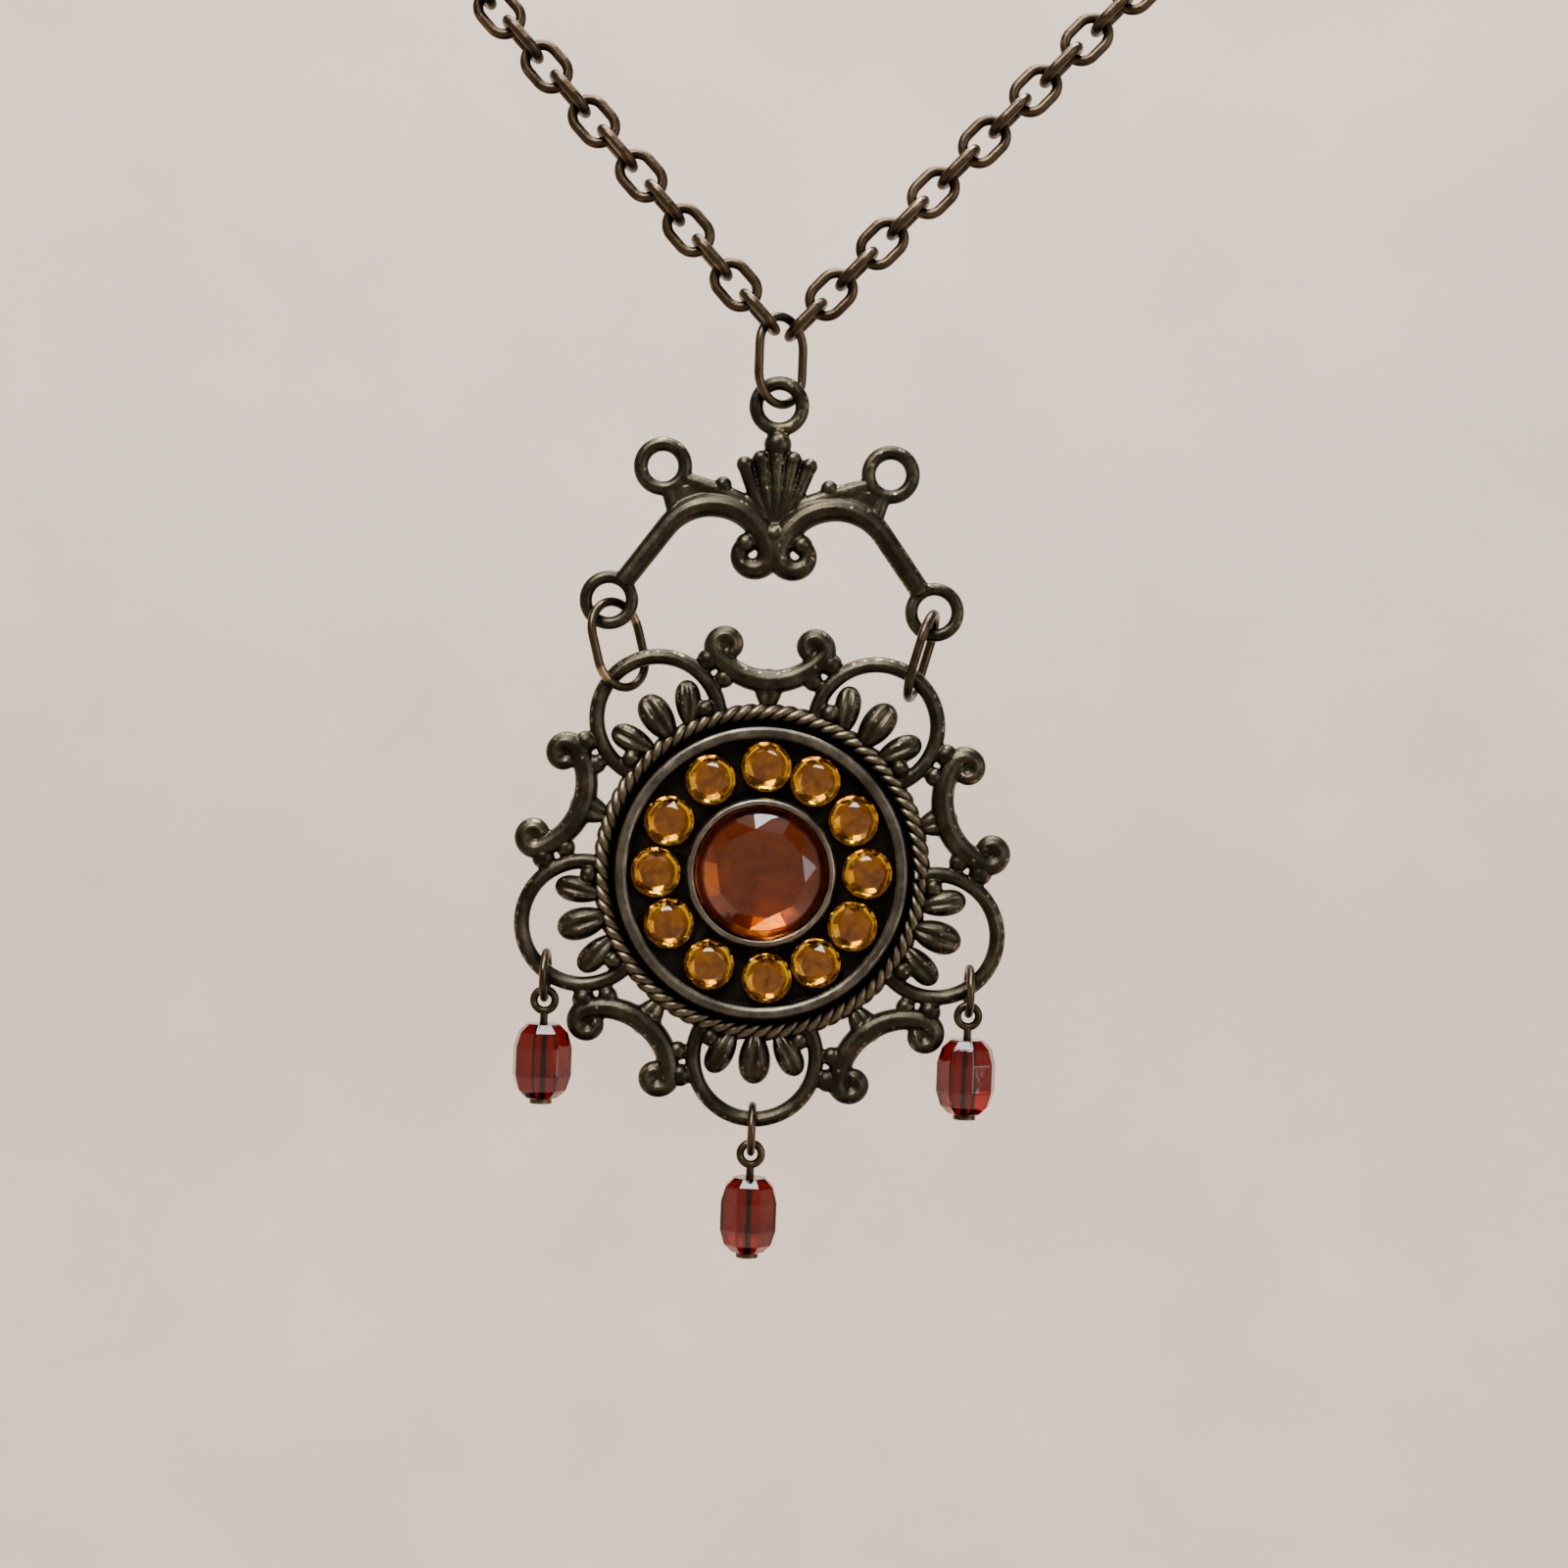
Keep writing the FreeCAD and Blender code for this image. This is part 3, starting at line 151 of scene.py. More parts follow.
class Nodes:
    """A material's node tree, with short calls for the nodes used here."""

    def __init__(self, name):
        self.material = bpy.data.materials.new(name)
        self.material.use_nodes = True
        self.tree = self.material.node_tree
        self.shader = self.tree.nodes["Principled BSDF"]
        self.place = self.add("ShaderNodeTexCoord").outputs["Object"]

    def add(self, kind, **settings):
        node = self.tree.nodes.new(kind)
        for name, value in settings.items():
            setattr(node, name, value)
        return node

    def link(self, output, target):
        self.tree.links.new(output, target)

    def noise(self, scale, detail=4.0, roughness=0.55):
        """A noise over the piece's own coordinates, its scale in features per metre."""
        node = self.add("ShaderNodeTexNoise")
        node.inputs["Scale"].default_value = scale
        node.inputs["Detail"].default_value = detail
        node.inputs["Roughness"].default_value = roughness
        self.link(self.place, node.inputs["Vector"])
        return node.outputs["Fac"]

    def ramp(self, value, *stops):
        """Colours along a value: each stop is a position and a colour."""
        node = self.add("ShaderNodeValToRGB")
        elements = node.color_ramp.elements
        while len(elements) < len(stops):
            elements.new(0.5)
        for element, (position, colour) in zip(elements, stops):
            element.position = position
            element.color = (*colour, 1)
        self.link(value, node.inputs["Fac"])
        return node.outputs["Color"]

    def mix(self, factor, first, second):
        """A mix of two colours by a factor."""
        node = self.add("ShaderNodeMix", data_type="RGBA")
        self.link(factor, node.inputs["Factor"])
        self.link(first, node.inputs["A"])
        self.link(second, node.inputs["B"])
        return node.outputs["Result"]

    def maths(self, operation, first, second):
        """Arithmetic on a value and a value or a number."""
        node = self.add("ShaderNodeMath", operation=operation)
        self.link(first, node.inputs[0])
        if isinstance(second, (int, float)):
            node.inputs[1].default_value = second
        else:
            self.link(second, node.inputs[1])
        return node.outputs[0]

    def spread(self, value, low, high):
        """A value from 0 to 1 spread between two numbers."""
        node = self.add("ShaderNodeMapRange")
        node.inputs["To Min"].default_value = low
        node.inputs["To Max"].default_value = high
        self.link(value, node.inputs["Value"])
        return node.outputs["Result"]

    def bump(self, height, distance, strength=1.0):
        """Bumps on the surface, their height in metres."""
        node = self.add("ShaderNodeBump")
        node.inputs["Strength"].default_value = strength
        node.inputs["Distance"].default_value = distance
        self.link(height, node.inputs["Height"])
        self.link(node.outputs["Normal"], self.shader.inputs["Normal"])

    def set(self, **values):
        """Numbers and colours on the shader's own sockets."""
        for name, value in values.items():
            self.shader.inputs[name.replace("_", " ")].default_value = value


def grey(level):
    """A grey colour."""
    return (level, level, level)


def antique_bronze(name, recess_patina_and_shade, body, worn, wear, gloss):
    """Darkened brass: black patina and painted shade where parts crowd together, brown elsewhere,
    brassy where rubbed.
    """
    nodes = Nodes(name)
    point = nodes.add("ShaderNodeNewGeometry").outputs["Pointiness"]
    # ambient occlusion darkens the colour where parts crowd together: painted shade laid over the
    # dark patina there
    crowding_shade = nodes.add("ShaderNodeAmbientOcclusion", samples=5)
    crowding_shade.inputs["Distance"].default_value = 0.0016
    blotches = nodes.noise(380, 5)
    grain = nodes.noise(2600, 6, 0.65)
    rubbing = nodes.maths("ADD", point, nodes.spread(grain, -0.03, 0.03))
    rubbing = nodes.maths("ADD", rubbing, nodes.spread(blotches, -0.04, 0.04))
    rubbed = nodes.ramp(rubbing, (wear[0], grey(0)), (wear[1], grey(1)))
    faces = nodes.ramp(blotches, (0.30, scaled(body, 0.55)), (0.70, scaled(body, 1.45)))
    metal = nodes.ramp(grain, (0.3, scaled(worn, 0.6)), (0.7, worn))
    open_faces = nodes.mix(rubbed, faces, metal)
    patina_and_shade = nodes.ramp(blotches, (0.0, recess_patina_and_shade), (1.0, scaled(recess_patina_and_shade, 1.6)))
    out_of_shade = nodes.ramp(crowding_shade.outputs["AO"], (0.35, grey(0)), (0.9, grey(1)))
    nodes.link(nodes.mix(out_of_shade, patina_and_shade, open_faces), nodes.shader.inputs["Base Color"])
    nodes.link(nodes.spread(nodes.noise(1500, 5, 0.6), *gloss), nodes.shader.inputs["Roughness"])
    nodes.bump(nodes.maths("ADD", grain, nodes.noise(900, 3)), 0.00005, 0.5)
    nodes.set(Metallic=1.0)
    return nodes.material


def scaled(colour, share):
    """A colour made darker or lighter by a share."""
    return [channel * share for channel in colour]


def tinted_glass(name, pale, deep):
    """Coloured glass with faint streaks in its tint and a few handling marks."""
    nodes = Nodes(name)
    streaks = nodes.noise(500, 3)
    tint = nodes.ramp(streaks, (0.3, deep), (0.7, pale))
    nodes.link(tint, nodes.shader.inputs["Base Color"])
    marks = nodes.noise(2200, 5, 0.7)
    nodes.link(nodes.spread(marks, 0.0, 0.06), nodes.shader.inputs["Roughness"])
    nodes.bump(nodes.noise(700, 2), 0.00001, 0.3)
    nodes.set(IOR=GLASS_IOR, Transmission_Weight=1.0)
    return nodes.material


def stone_foil(name, bright, dull, gloss):
    """The mirror-like foil behind a stone."""
    nodes = Nodes(name)
    specks = nodes.noise(1500, 4)
    nodes.link(nodes.ramp(specks, (0.35, dull), (0.65, bright)), nodes.shader.inputs["Base Color"])
    nodes.link(nodes.spread(specks, *gloss), nodes.shader.inputs["Roughness"])
    nodes.bump(specks, 0.00002, 0.4)
    nodes.set(Metallic=1.0)
    return nodes.material


def spring_steel():
    """Drawn steel wire with fine marks."""
    nodes = Nodes("spring_steel")
    drawn = nodes.noise(3000, 4)
    nodes.link(nodes.ramp(drawn, (0.3, grey(0.32)), (0.7, grey(0.5))),
               nodes.shader.inputs["Base Color"])
    nodes.link(nodes.spread(drawn, 0.2, 0.4), nodes.shader.inputs["Roughness"])
    nodes.set(Metallic=1.0)
    return nodes.material


def pale_backdrop():
    """A matt warm off-white with a faint mottling."""
    nodes = Nodes("backdrop")
    mottle = nodes.noise(9, 4)
    fine = nodes.noise(420, 4)
    nodes.link(nodes.ramp(mottle, (0.3, (0.46, 0.39, 0.33)), (0.7, (0.52, 0.44, 0.375))),
               nodes.shader.inputs["Base Color"])
    nodes.link(nodes.spread(fine, 0.75, 0.95), nodes.shader.inputs["Roughness"])
    nodes.bump(fine, 0.0002, 0.25)
    return nodes.material


# ---------------------------------------------------------------- shaping

def polar(radius, clock):
    """A flat point at a radius and a clock angle, in degrees clockwise from the top."""
    turn = math.radians(clock)
    return Vector((radius * math.sin(turn), radius * math.cos(turn), 0))


def arc(centre, radius, start, sweep, steps=28, end_radius=None):
    """Points on an arc or, with an end radius, on a spiral; angles anticlockwise from +x."""
    if end_radius is None:
        end_radius = radius
    points = []
    for step in range(steps + 1):
        part = step / steps
        turn = math.radians(start + sweep * part)
        reach = radius + (end_radius - radius) * part
        points.append(Vector((centre[0] + reach * math.cos(turn),
                              centre[1] + reach * math.sin(turn), 0)))
    return points


def ring_points(centre, radius, count=36):
    """Points evenly round a whole circle."""
    return arc(centre, radius, 0, 360 * (count - 1) / count, count - 1)


def lifted(points, height):
    """The same points, moved towards the viewer."""
    return [p + Vector((0, 0, height)) for p in points]


def mirrored(points):
    """The same points on the other side."""
    return [Vector((-p.x, p.y, p.z)) for p in points]


def along(radii, count):
    """Radii spread evenly over a number of points."""
    spans = len(radii) - 1
    values = []
    for step in range(count):
        place = step / (count - 1) * spans
        first = min(int(place), spans - 1)
        values.append(radii[first] + (radii[first + 1] - radii[first]) * (place - first))
    return values


def add_tube(shape, points, radii, sides=14, closed=False):
    """A round tube through the points, its ends capped unless it is closed on itself."""
    count = len(points)
    radii = along(radii, count)
    side = None
    rings = []
    for step, point in enumerate(points):
        if closed:
            ahead = points[(step + 1) % count] - points[step - 1]
        else:
            ahead = points[min(step + 1, count - 1)] - points[max(step - 1, 0)]
        ahead.normalize()
        if side is None:
            side = ahead.orthogonal().normalized()
        side = (side - ahead * side.dot(ahead)).normalized()
        up = ahead.cross(side)
        ring = []
        for spoke in range(sides):
            turn = 2 * math.pi * spoke / sides
            offset = side * math.cos(turn) + up * math.sin(turn)
            ring.append(shape.verts.new(point + offset * radii[step]))
        rings.append(ring)
    pairs = list(zip(rings, rings[1:]))
    if closed:
        pairs.append((rings[-1], rings[0]))
    for first, second in pairs:
        for spoke in range(sides):
            following = (spoke + 1) % sides
            shape.faces.new((first[spoke], first[following], second[following], second[spoke]))
    if not closed:
        shape.faces.new(list(reversed(rings[0])))
        shape.faces.new(rings[-1])


def add_ball(shape, centre, radius, squash=1.0):
    """A ball, flattened towards the viewer by a squash below 1."""
    size = Matrix.Diagonal((radius, radius, radius * squash, 1))
    place = Matrix.Translation(centre) @ size
    bmesh.ops.create_icosphere(shape, subdivisions=4, radius=1.0, matrix=place)


def add_leaf(shape, foot, tip, width, thickness, lift=0.0, groove=0.4):
    """A plump leaf from foot to tip, widest past its middle, with a groove down its front."""
    run = tip - foot
    turn = Vector((1, 0, 0)).rotation_difference(run.normalized()).to_matrix().to_4x4()
    made = bmesh.ops.create_icosphere(shape, subdivisions=4, radius=1.0)
    place = Matrix.Translation((foot + tip) / 2 + Vector((0, 0, lift))) @ turn
    for vert in made["verts"]:
        t, across, high = vert.co
        widening = 0.55 + 0.45 * (0.62 + 0.38 * t)
        dip = groove * math.exp(-(across / 0.22) ** 2) if high > 0 else 0.0
        vert.co = place @ Vector((
            t * run.length / 2,
            across * width / 2 * widening,
            high * thickness / 2 * (1 - dip),
        ))


def add_plate(shape, corners, thickness):
    """A flat plate with the given outline, half its thickness to each side."""
    half = Vector((0, 0, thickness / 2))
    front = [shape.verts.new(corner + half) for corner in corners]
    back = [shape.verts.new(corner - half) for corner in corners]
    for index, corner in enumerate(front):
        following = (index + 1) % len(front)
        shape.faces.new((corner, front[following], back[following], back[index]))
    for side in (front, back):
        bmesh.ops.triangulate(shape, faces=[shape.faces.new(side)])


def finished_mesh(shape, name, smooth=True):
    """Turns a shape in millimetres into a mesh in metres."""
    bmesh.ops.recalc_face_normals(shape, faces=shape.faces)
    mesh = bpy.data.meshes.new(name)
    shape.to_mesh(mesh)
    shape.free()
    for polygon in mesh.polygons:
        polygon.use_smooth = smooth
    mesh.transform(Matrix.Scale(MM, 4))
    return mesh


def cast_mesh(shape, name, voxel=0.09, soften=3):
    """Melts overlapping shapes into one casting, its joints softened as in a real one."""
    mesh = bpy.data.meshes.new(name)
    bmesh.ops.recalc_face_normals(shape, faces=shape.faces)
    shape.to_mesh(mesh)
    shape.free()
    rough = bpy.data.objects.new(name, mesh)
    bpy.context.scene.collection.objects.link(rough)
    melt = rough.modifiers.new("melt", "REMESH")
    melt.mode = "VOXEL"
    melt.voxel_size = voxel
    melt.use_smooth_shade = True
    settle = rough.modifiers.new("settle", "SMOOTH")
    settle.factor = 0.5
    settle.iterations = soften
    evaluated = rough.evaluated_get(bpy.context.evaluated_depsgraph_get())
    cast = bpy.data.meshes.new_from_object(evaluated)
    bpy.data.objects.remove(rough)
    bpy.data.meshes.remove(mesh)
    cast.name = name
    cast.transform(Matrix.Scale(MM, 4))
    return cast


def add_piece(name, mesh, material, place, body):
    """An object of a mesh, in its place, riding on a body."""
    piece = bpy.data.objects.new(name, mesh)
    bpy.context.scene.collection.objects.link(piece)
    mesh.materials.clear()
    mesh.materials.append(material)
    piece.matrix_world = place
    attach(piece, body)
    return piece


def lathe(name, profile, segments=180):
    """A ring swept round z from a closed profile of (radius, height) points."""
    shape = bmesh.new()
    rings = []
    for step in range(segments):
        turn = 2 * math.pi * (step + LATHE_START) / segments
        rings.append([shape.verts.new((r * math.cos(turn), r * math.sin(turn), z))
                      for r, z in profile])
    count = len(profile)
    for step in range(segments):
        first, second = rings[step], rings[(step + 1) % segments]
        for corner in range(count):
            following = (corner + 1) % count
            shape.faces.new((first[corner], first[following],
                             second[following], second[corner]))
    return finished_mesh(shape, name)


def rounded(corners, radius, steps=5):
    """A closed profile with each of its corners rounded."""
    points = []
    count = len(corners)
    for index, corner in enumerate(corners):
        corner = Vector(corner)
        before = Vector(corners[index - 1]) - corner
        after = Vector(corners[(index + 1) % count]) - corner
        cut = min(radius, before.length * 0.45, after.length * 0.45)
        start = corner + before.normalized() * cut
        end = corner + after.normalized() * cut
        for step in range(steps + 1):
            part = step / steps
            near = start.lerp(corner, part)
            points.append(tuple(near.lerp(corner.lerp(end, part), part)))
    return points


# ---------------------------------------------------------------- medallion

def centre_of(node):
    """The middle of a CAD node."""
    low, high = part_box(node)
    return (low + high) / 2


def medallion_place(height=0.0, shift=Vector((0, 0, 0)), turn=0.0):
    """Stands a piece up at the medallion's centre, raised, shifted and turned clockwise."""
    cup = centre_of("stone_cup")
    centre = Vector((cup.x, centre_of("connector").y, cup.z))
    raised = Matrix.Translation((shift + Vector((0, 0, height))) * MM)
    spin = Matrix.Rotation(math.radians(-turn), 4, "Z")
    return Matrix.Translation(centre) @ STAND_UP @ raised @ spin


def shape_scroll(shape):
    """A scroll with a raised crest, its ends wound in round a ball, and a leaf at its foot."""
    rise = SCROLL_CURL.y - SCROLL_BACK
    inner = SCROLL_CURL_RADIUS
    radius = (SCROLL_CURL.x ** 2 + rise ** 2 - inner ** 2) / (2 * (rise - inner))
    centre = Vector((0, SCROLL_BACK + radius))
    meet = math.degrees(math.atan2(SCROLL_CURL.y - centre.y, SCROLL_CURL.x))
    half_back = arc(centre, radius, -90, 90 + meet, 22)
    curl = arc(SCROLL_CURL, inner, meet, 330, 44, inner * 0.5)
    half = half_back + curl[1:]
    whole = list(reversed(mirrored(half)))[:-1] + half
    add_tube(shape, whole, [0.5, 0.66, 0.74, 0.84, 0.92, 0.84, 0.74, 0.66, 0.5])
    crest = lifted(whole[8:-8], 0.55)
    add_tube(shape, crest, [0.16, 0.27, 0.32, 0.27, 0.16], 10)
    for side in (-1, 1):
        add_ball(shape, Vector((side * SCROLL_CURL.x, SCROLL_CURL.y, -0.1)), 1.1, 0.5)
    add_leaf(shape, polar(12.2, 0), polar(15.4, 0), 2.6, 1.5, -0.1, 0.3)


def shape_lobe(shape):
    """An arch with a raised crest, three leaves inside it, and balls to both scrolls."""
    clock = 180 / PETALS
    centre = polar(LOBE_CENTRE, clock)
    to_rope = ROPE_RADIUS ** 2 - LOBE_CENTRE ** 2 - LOBE_RADIUS ** 2
    half = math.degrees(math.acos(to_rope / (2 * LOBE_CENTRE * LOBE_RADIUS)))
    rim = arc(centre, LOBE_RADIUS, 90 - clock - half, 2 * half, 60)
    add_tube(shape, lifted(rim, -0.03), [LOBE_BAR, LOBE_BAR])
    add_tube(shape, lifted(rim[4:-4], 0.4), [0.16, 0.24, 0.24, 0.24, 0.16], 10)
    add_leaf(shape, polar(11.9, clock), polar(16.0, clock), 2.9, 2.4, 0.1, 0.25)
    for side in (-1, 1):
        add_leaf(shape, polar(12.1, clock + side * 7.5), polar(15.6, clock + side * 12.5),
                 2.4, 2.0, 0.0, 0.25)
        add_ball(shape, polar(13.0, clock + side * 15) + Vector((0, 0, 0.25)), 0.72)
        add_ball(shape, polar(16.5, clock + side * (clock - 16.3)), 0.88, 0.9)
        add_ball(shape, polar(14.9, clock + side * (clock - 13.0)), 0.75, 0.9)


def rope_mesh():
    """A ring of strands twisted together."""
    shape = bmesh.new()
    steps = ROPE_TWISTS * STEPS_PER_TWIST
    for strand in range(ROPE_STRANDS):
        points = []
        for step in range(steps):
            part = step / steps
            turn = 2 * math.pi * part
            roll = 2 * math.pi * (ROPE_TWISTS * part + strand / ROPE_STRANDS)
            reach = ROPE_RADIUS + STRAND_OFFSET * math.cos(roll)
            points.append(Vector((reach * math.cos(turn), reach * math.sin(turn),
                                  STRAND_OFFSET * math.sin(roll))))
        add_tube(shape, points, [STRAND_RADIUS, STRAND_RADIUS], 10, closed=True)
    return finished_mesh(shape, "rope_ring")


def brilliant(name, radius, table, high, girdle, pavilion, low, sides):
    """A faceted stone: table, star, kite and girdle facets above, rows of facets below.

    The pavilion is a row of (radius, height) points from the girdle in to the low tip.
    """
    shape = bmesh.new()
    step = math.pi / sides

    def ring(reach, height, turns):
        return [shape.verts.new((reach * math.cos(step * t), reach * math.sin(step * t), height))
                for t in turns]

    crown = ring(table, high, range(0, 2 * sides, 2))
    middle = (table + radius) / 2
    kites = ring(middle, girdle + (high - girdle) * 0.6, range(1, 2 * sides, 2))
    upper = ring(radius, girdle + 0.05 * radius, range(2 * sides))
    rows = [upper, ring(radius, girdle, range(2 * sides))]
    rows += [ring(reach, height, range(2 * sides)) for reach, height in pavilion]
    tip = shape.verts.new((0, 0, low))
    shape.faces.new(crown)
    for index in range(sides):
        following = (index + 1) % sides
        here, beyond = 2 * index, 2 * following
        shape.faces.new((crown[index], kites[index], crown[following]))
        shape.faces.new((crown[index], kites[index - 1], upper[here], kites[index]))
        shape.faces.new((kites[index], upper[here], upper[here + 1]))
        shape.faces.new((kites[index], upper[here + 1], upper[beyond]))
    for index in range(2 * sides):
        following = (index + 1) % (2 * sides)
        for first, second in zip(rows, rows[1:]):
            shape.faces.new((first[index], first[following], second[following], second[index]))
        shape.faces.new((rows[-1][index], rows[-1][following], tip))
    return finished_mesh(shape, name, smooth=False)


def foil_mesh(name, radius, girdle, pavilion, low, sides):
    """The foil dish under a stone, its inside a hair below the stone's own facets."""
    shape = bmesh.new()
    inside = [(radius * 0.998, girdle - 0.01)]
    inside += [(reach, height - 0.015) for reach, height in pavilion]
    outside = [(radius * 0.998, low - 0.05)]
    rows = []
    for reach, height in [*reversed(inside), *outside]:
        rows.append([shape.verts.new((reach * math.cos(math.pi * t / sides),
                                      reach * math.sin(math.pi * t / sides), height))
                     for t in range(2 * sides)])
    tip = shape.verts.new((0, 0, low - 0.015))
    for index in range(2 * sides):
        following = (index + 1) % (2 * sides)
        shape.faces.new((rows[0][index], rows[0][following], tip))
        for first, second in zip(rows, rows[1:]):
            shape.faces.new((first[index], first[following], second[following], second[index]))
    shape.faces.new(rows[-1])
    return finished_mesh(shape, name, smooth=False)


def make_medallion(cast, turned, worn_rim, cup_floor):
    """The openwork frame, rope ring, back plate, cup and bezel.

    The flat backs of the plate and the cup have more rings than their shape needs, so that
    the wear shading stays even there.
    """
    shape = bmesh.new()
    shape_scroll(shape)
    shape_lobe(shape)
    petal = cast_mesh(shape, "petal")
    for index in range(PETALS):
        piece = add_piece(f"petal_{index + 1}", petal, cast,
                          medallion_place(turn=360 / PETALS * index), "medallion")
        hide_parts("medallion_frame")
    add_piece("rope_ring", rope_mesh(), cast, medallion_place(), "medallion")
    plate = lathe("back_plate", rounded((
        (PLATE_BORE, PLATE_BACK), (7.6, PLATE_BACK), (9.8, PLATE_BACK), (11.9, PLATE_BACK),
        (12.5, PLATE_BACK), (12.7, -0.5), (11.9, 0.0), (11.0, PLATE_FRONT),
        (PLATE_BORE, PLATE_FRONT),
    ), 0.18))
    add_piece("back_plate", plate, cast, medallion_place(), "medallion")
    cup = lathe("stone_cup", rounded((
        (0.02, PLATE_FRONT), (0.8, PLATE_FRONT), (2.4, PLATE_FRONT), (4.6, PLATE_FRONT),
        (6.9, PLATE_FRONT), (CUP_OUTSIDE, PLATE_FRONT), (CUP_OUTSIDE, 1.75), (10.75, 1.9),
        (10.3, 1.9), (CUP_INSIDE, 1.7), (CUP_INSIDE, 0.42), (0.02, STONE_SEAT),
    ), 0.14))
    piece = add_piece("stone_cup_turned", cup, worn_rim, medallion_place(), "medallion")
    # the cup's floor between the stones takes a darker copy of the bronze: painted shade down in
    # the cup
    cup.materials.append(cup_floor)
    for face in cup.polygons:
        inside = face.center.xy.length < CUP_INSIDE * MM
        face.material_index = int(inside and face.center.z < CUP_FLOOR_TOP * MM)
    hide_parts("stone_cup")
    bezel = lathe("centre_bezel", rounded((
        (5.06, STONE_SEAT), (5.65, STONE_SEAT), (5.62, 1.75), (5.45, 2.1), (5.1, 2.1),
        (5.02, 1.9), (5.08, 1.6),
    ), 0.12))
    piece = add_piece("centre_bezel_folded", bezel, turned, medallion_place(), "medallion")
    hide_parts("centre_bezel")


def make_stones(amber, amber_foil, deep_amber, deep_foil):
    """The centre stone and the twelve small ones, each on its foil."""
    body = "medallion"
    seat = STONE_SEAT
    small = brilliant("amber_cut", SMALL_STONE_RADIUS, table=1.15, high=1.55, **SMALL_STONE)
    small_foil = foil_mesh("amber_foil", SMALL_STONE_RADIUS, **SMALL_STONE)
    for number, clock in enumerate(STONE_ANGLES, start=1):
        place = medallion_place(seat, polar(STONE_RING, clock), clock * 2.7)
        stone = add_piece(f"amber_cut_{number:02d}", small, amber, place, body)
        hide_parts(f"amber_stone_{number:02d}")
        add_piece(f"amber_foil_{number:02d}", small_foil, amber_foil, place, body)
    place = medallion_place(seat, turn=9)
    centre = brilliant("centre_cut", CENTRE_STONE_RADIUS, table=3.35, high=2.5, **CENTRE_STONE)
    stone = add_piece("centre_stone_cut", centre, deep_amber, place, body)
    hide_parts("centre_stone")
    foil = foil_mesh("centre_foil", CENTRE_STONE_RADIUS, **CENTRE_STONE)
    add_piece("centre_foil", foil, deep_foil, place, body)


# ---------------------------------------------------------------- connector

def connector_place():
    """Stands the connector up at its top eyelet."""
    low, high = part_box("connector")
    eyelet = high.z - (EYELET_RADIUS + EYELET_BAR) * MM
    centre = Vector(((low.x + high.x) / 2, (low.y + high.y) / 2, eyelet))
    return Matrix.Translation(centre) @ STAND_UP


def shape_connector_side(shape, side):
    """Half the connector: leg, arch and curl in one sweep, both eyelets, arm, web and leaves."""
    def out(points):
        return points if side > 0 else mirrored(points)

    arch = arc(ARCH_CENTRE, ARCH_RADIUS, LEG_ANGLE, CURL_ANGLE - LEG_ANGLE, 40)
    meet = Vector(ARCH_CENTRE) + (ARCH_RADIUS - CURL_RADIUS) * Vector((
        math.cos(math.radians(CURL_ANGLE)), math.sin(math.radians(CURL_ANGLE))))
    curl = arc(meet, CURL_RADIUS, CURL_ANGLE, CURL_SWEEP, 36, CURL_RADIUS * 0.7)
    low = Vector((LOW_EYELETS.x, LOW_EYELETS.y, 0))
    leg = [low + (arch[0] - low) * part for part in (0.24, 0.5, 0.75)]
    sweep = leg + arch + curl[1:]
    add_tube(shape, out(sweep), [0.8, 0.9, 0.98, 1.0, 0.98, 0.85, 0.72, 0.62])
    add_tube(shape, out(lifted(sweep[2:-14], 0.66)), [0.2, 0.34, 0.38, 0.32, 0.16], 10)
    add_ball(shape, out([curl[-1]])[0] + Vector((0, 0, 0.1)), 0.8)

    ear = Vector((EARS.x, EARS.y, 0))
    add_tube(shape, out(ring_points(EARS, EAR_RADIUS)), [EAR_BAR, EAR_BAR], closed=True)
    add_tube(shape, out(ring_points(LOW_EYELETS, EYELET_RADIUS)),
             [LOW_EYELET_BAR, LOW_EYELET_BAR], closed=True)
    arm = [ear + Vector((-1.35, -0.75, 0)), Vector((5.6, -6.15, 0)), Vector((3.9, -6.75, 0)),
           Vector((1.5, -7.6, 0))]
    add_tube(shape, out(arm), [0.5, 0.62, 0.7, 0.6])
    arch_top = arc(ARCH_CENTRE, ARCH_RADIUS, 50, 95, 12)
    web = [ear + Vector((-0.6, -1.6, 0)), *arch_top, arm[-1], arm[-2], arm[1]]
    add_plate(shape, out(web), 0.9)
    knuckle = out([Vector((4.0, -6.1, 0.1))])[0]
    add_ball(shape, knuckle, 0.66)
    stub = [ear + Vector((-0.4, -1.55, 0)), Vector((7.5, -8.6, 0))]
    add_tube(shape, out(stub), [0.55, 0.6])
    for foot, tip, width in (
        (Vector((2.0, -8.3, 0)), Vector((5.4, -7.0, 0)), 1.3),
        (Vector((5.0, -7.6, 0)), Vector((7.4, -6.9, 0)), 1.1),
    ):
        foot, tip = out([foot])[0], out([tip])[0]
        add_leaf(shape, foot, tip, width, 0.8, -0.15, 0.2)


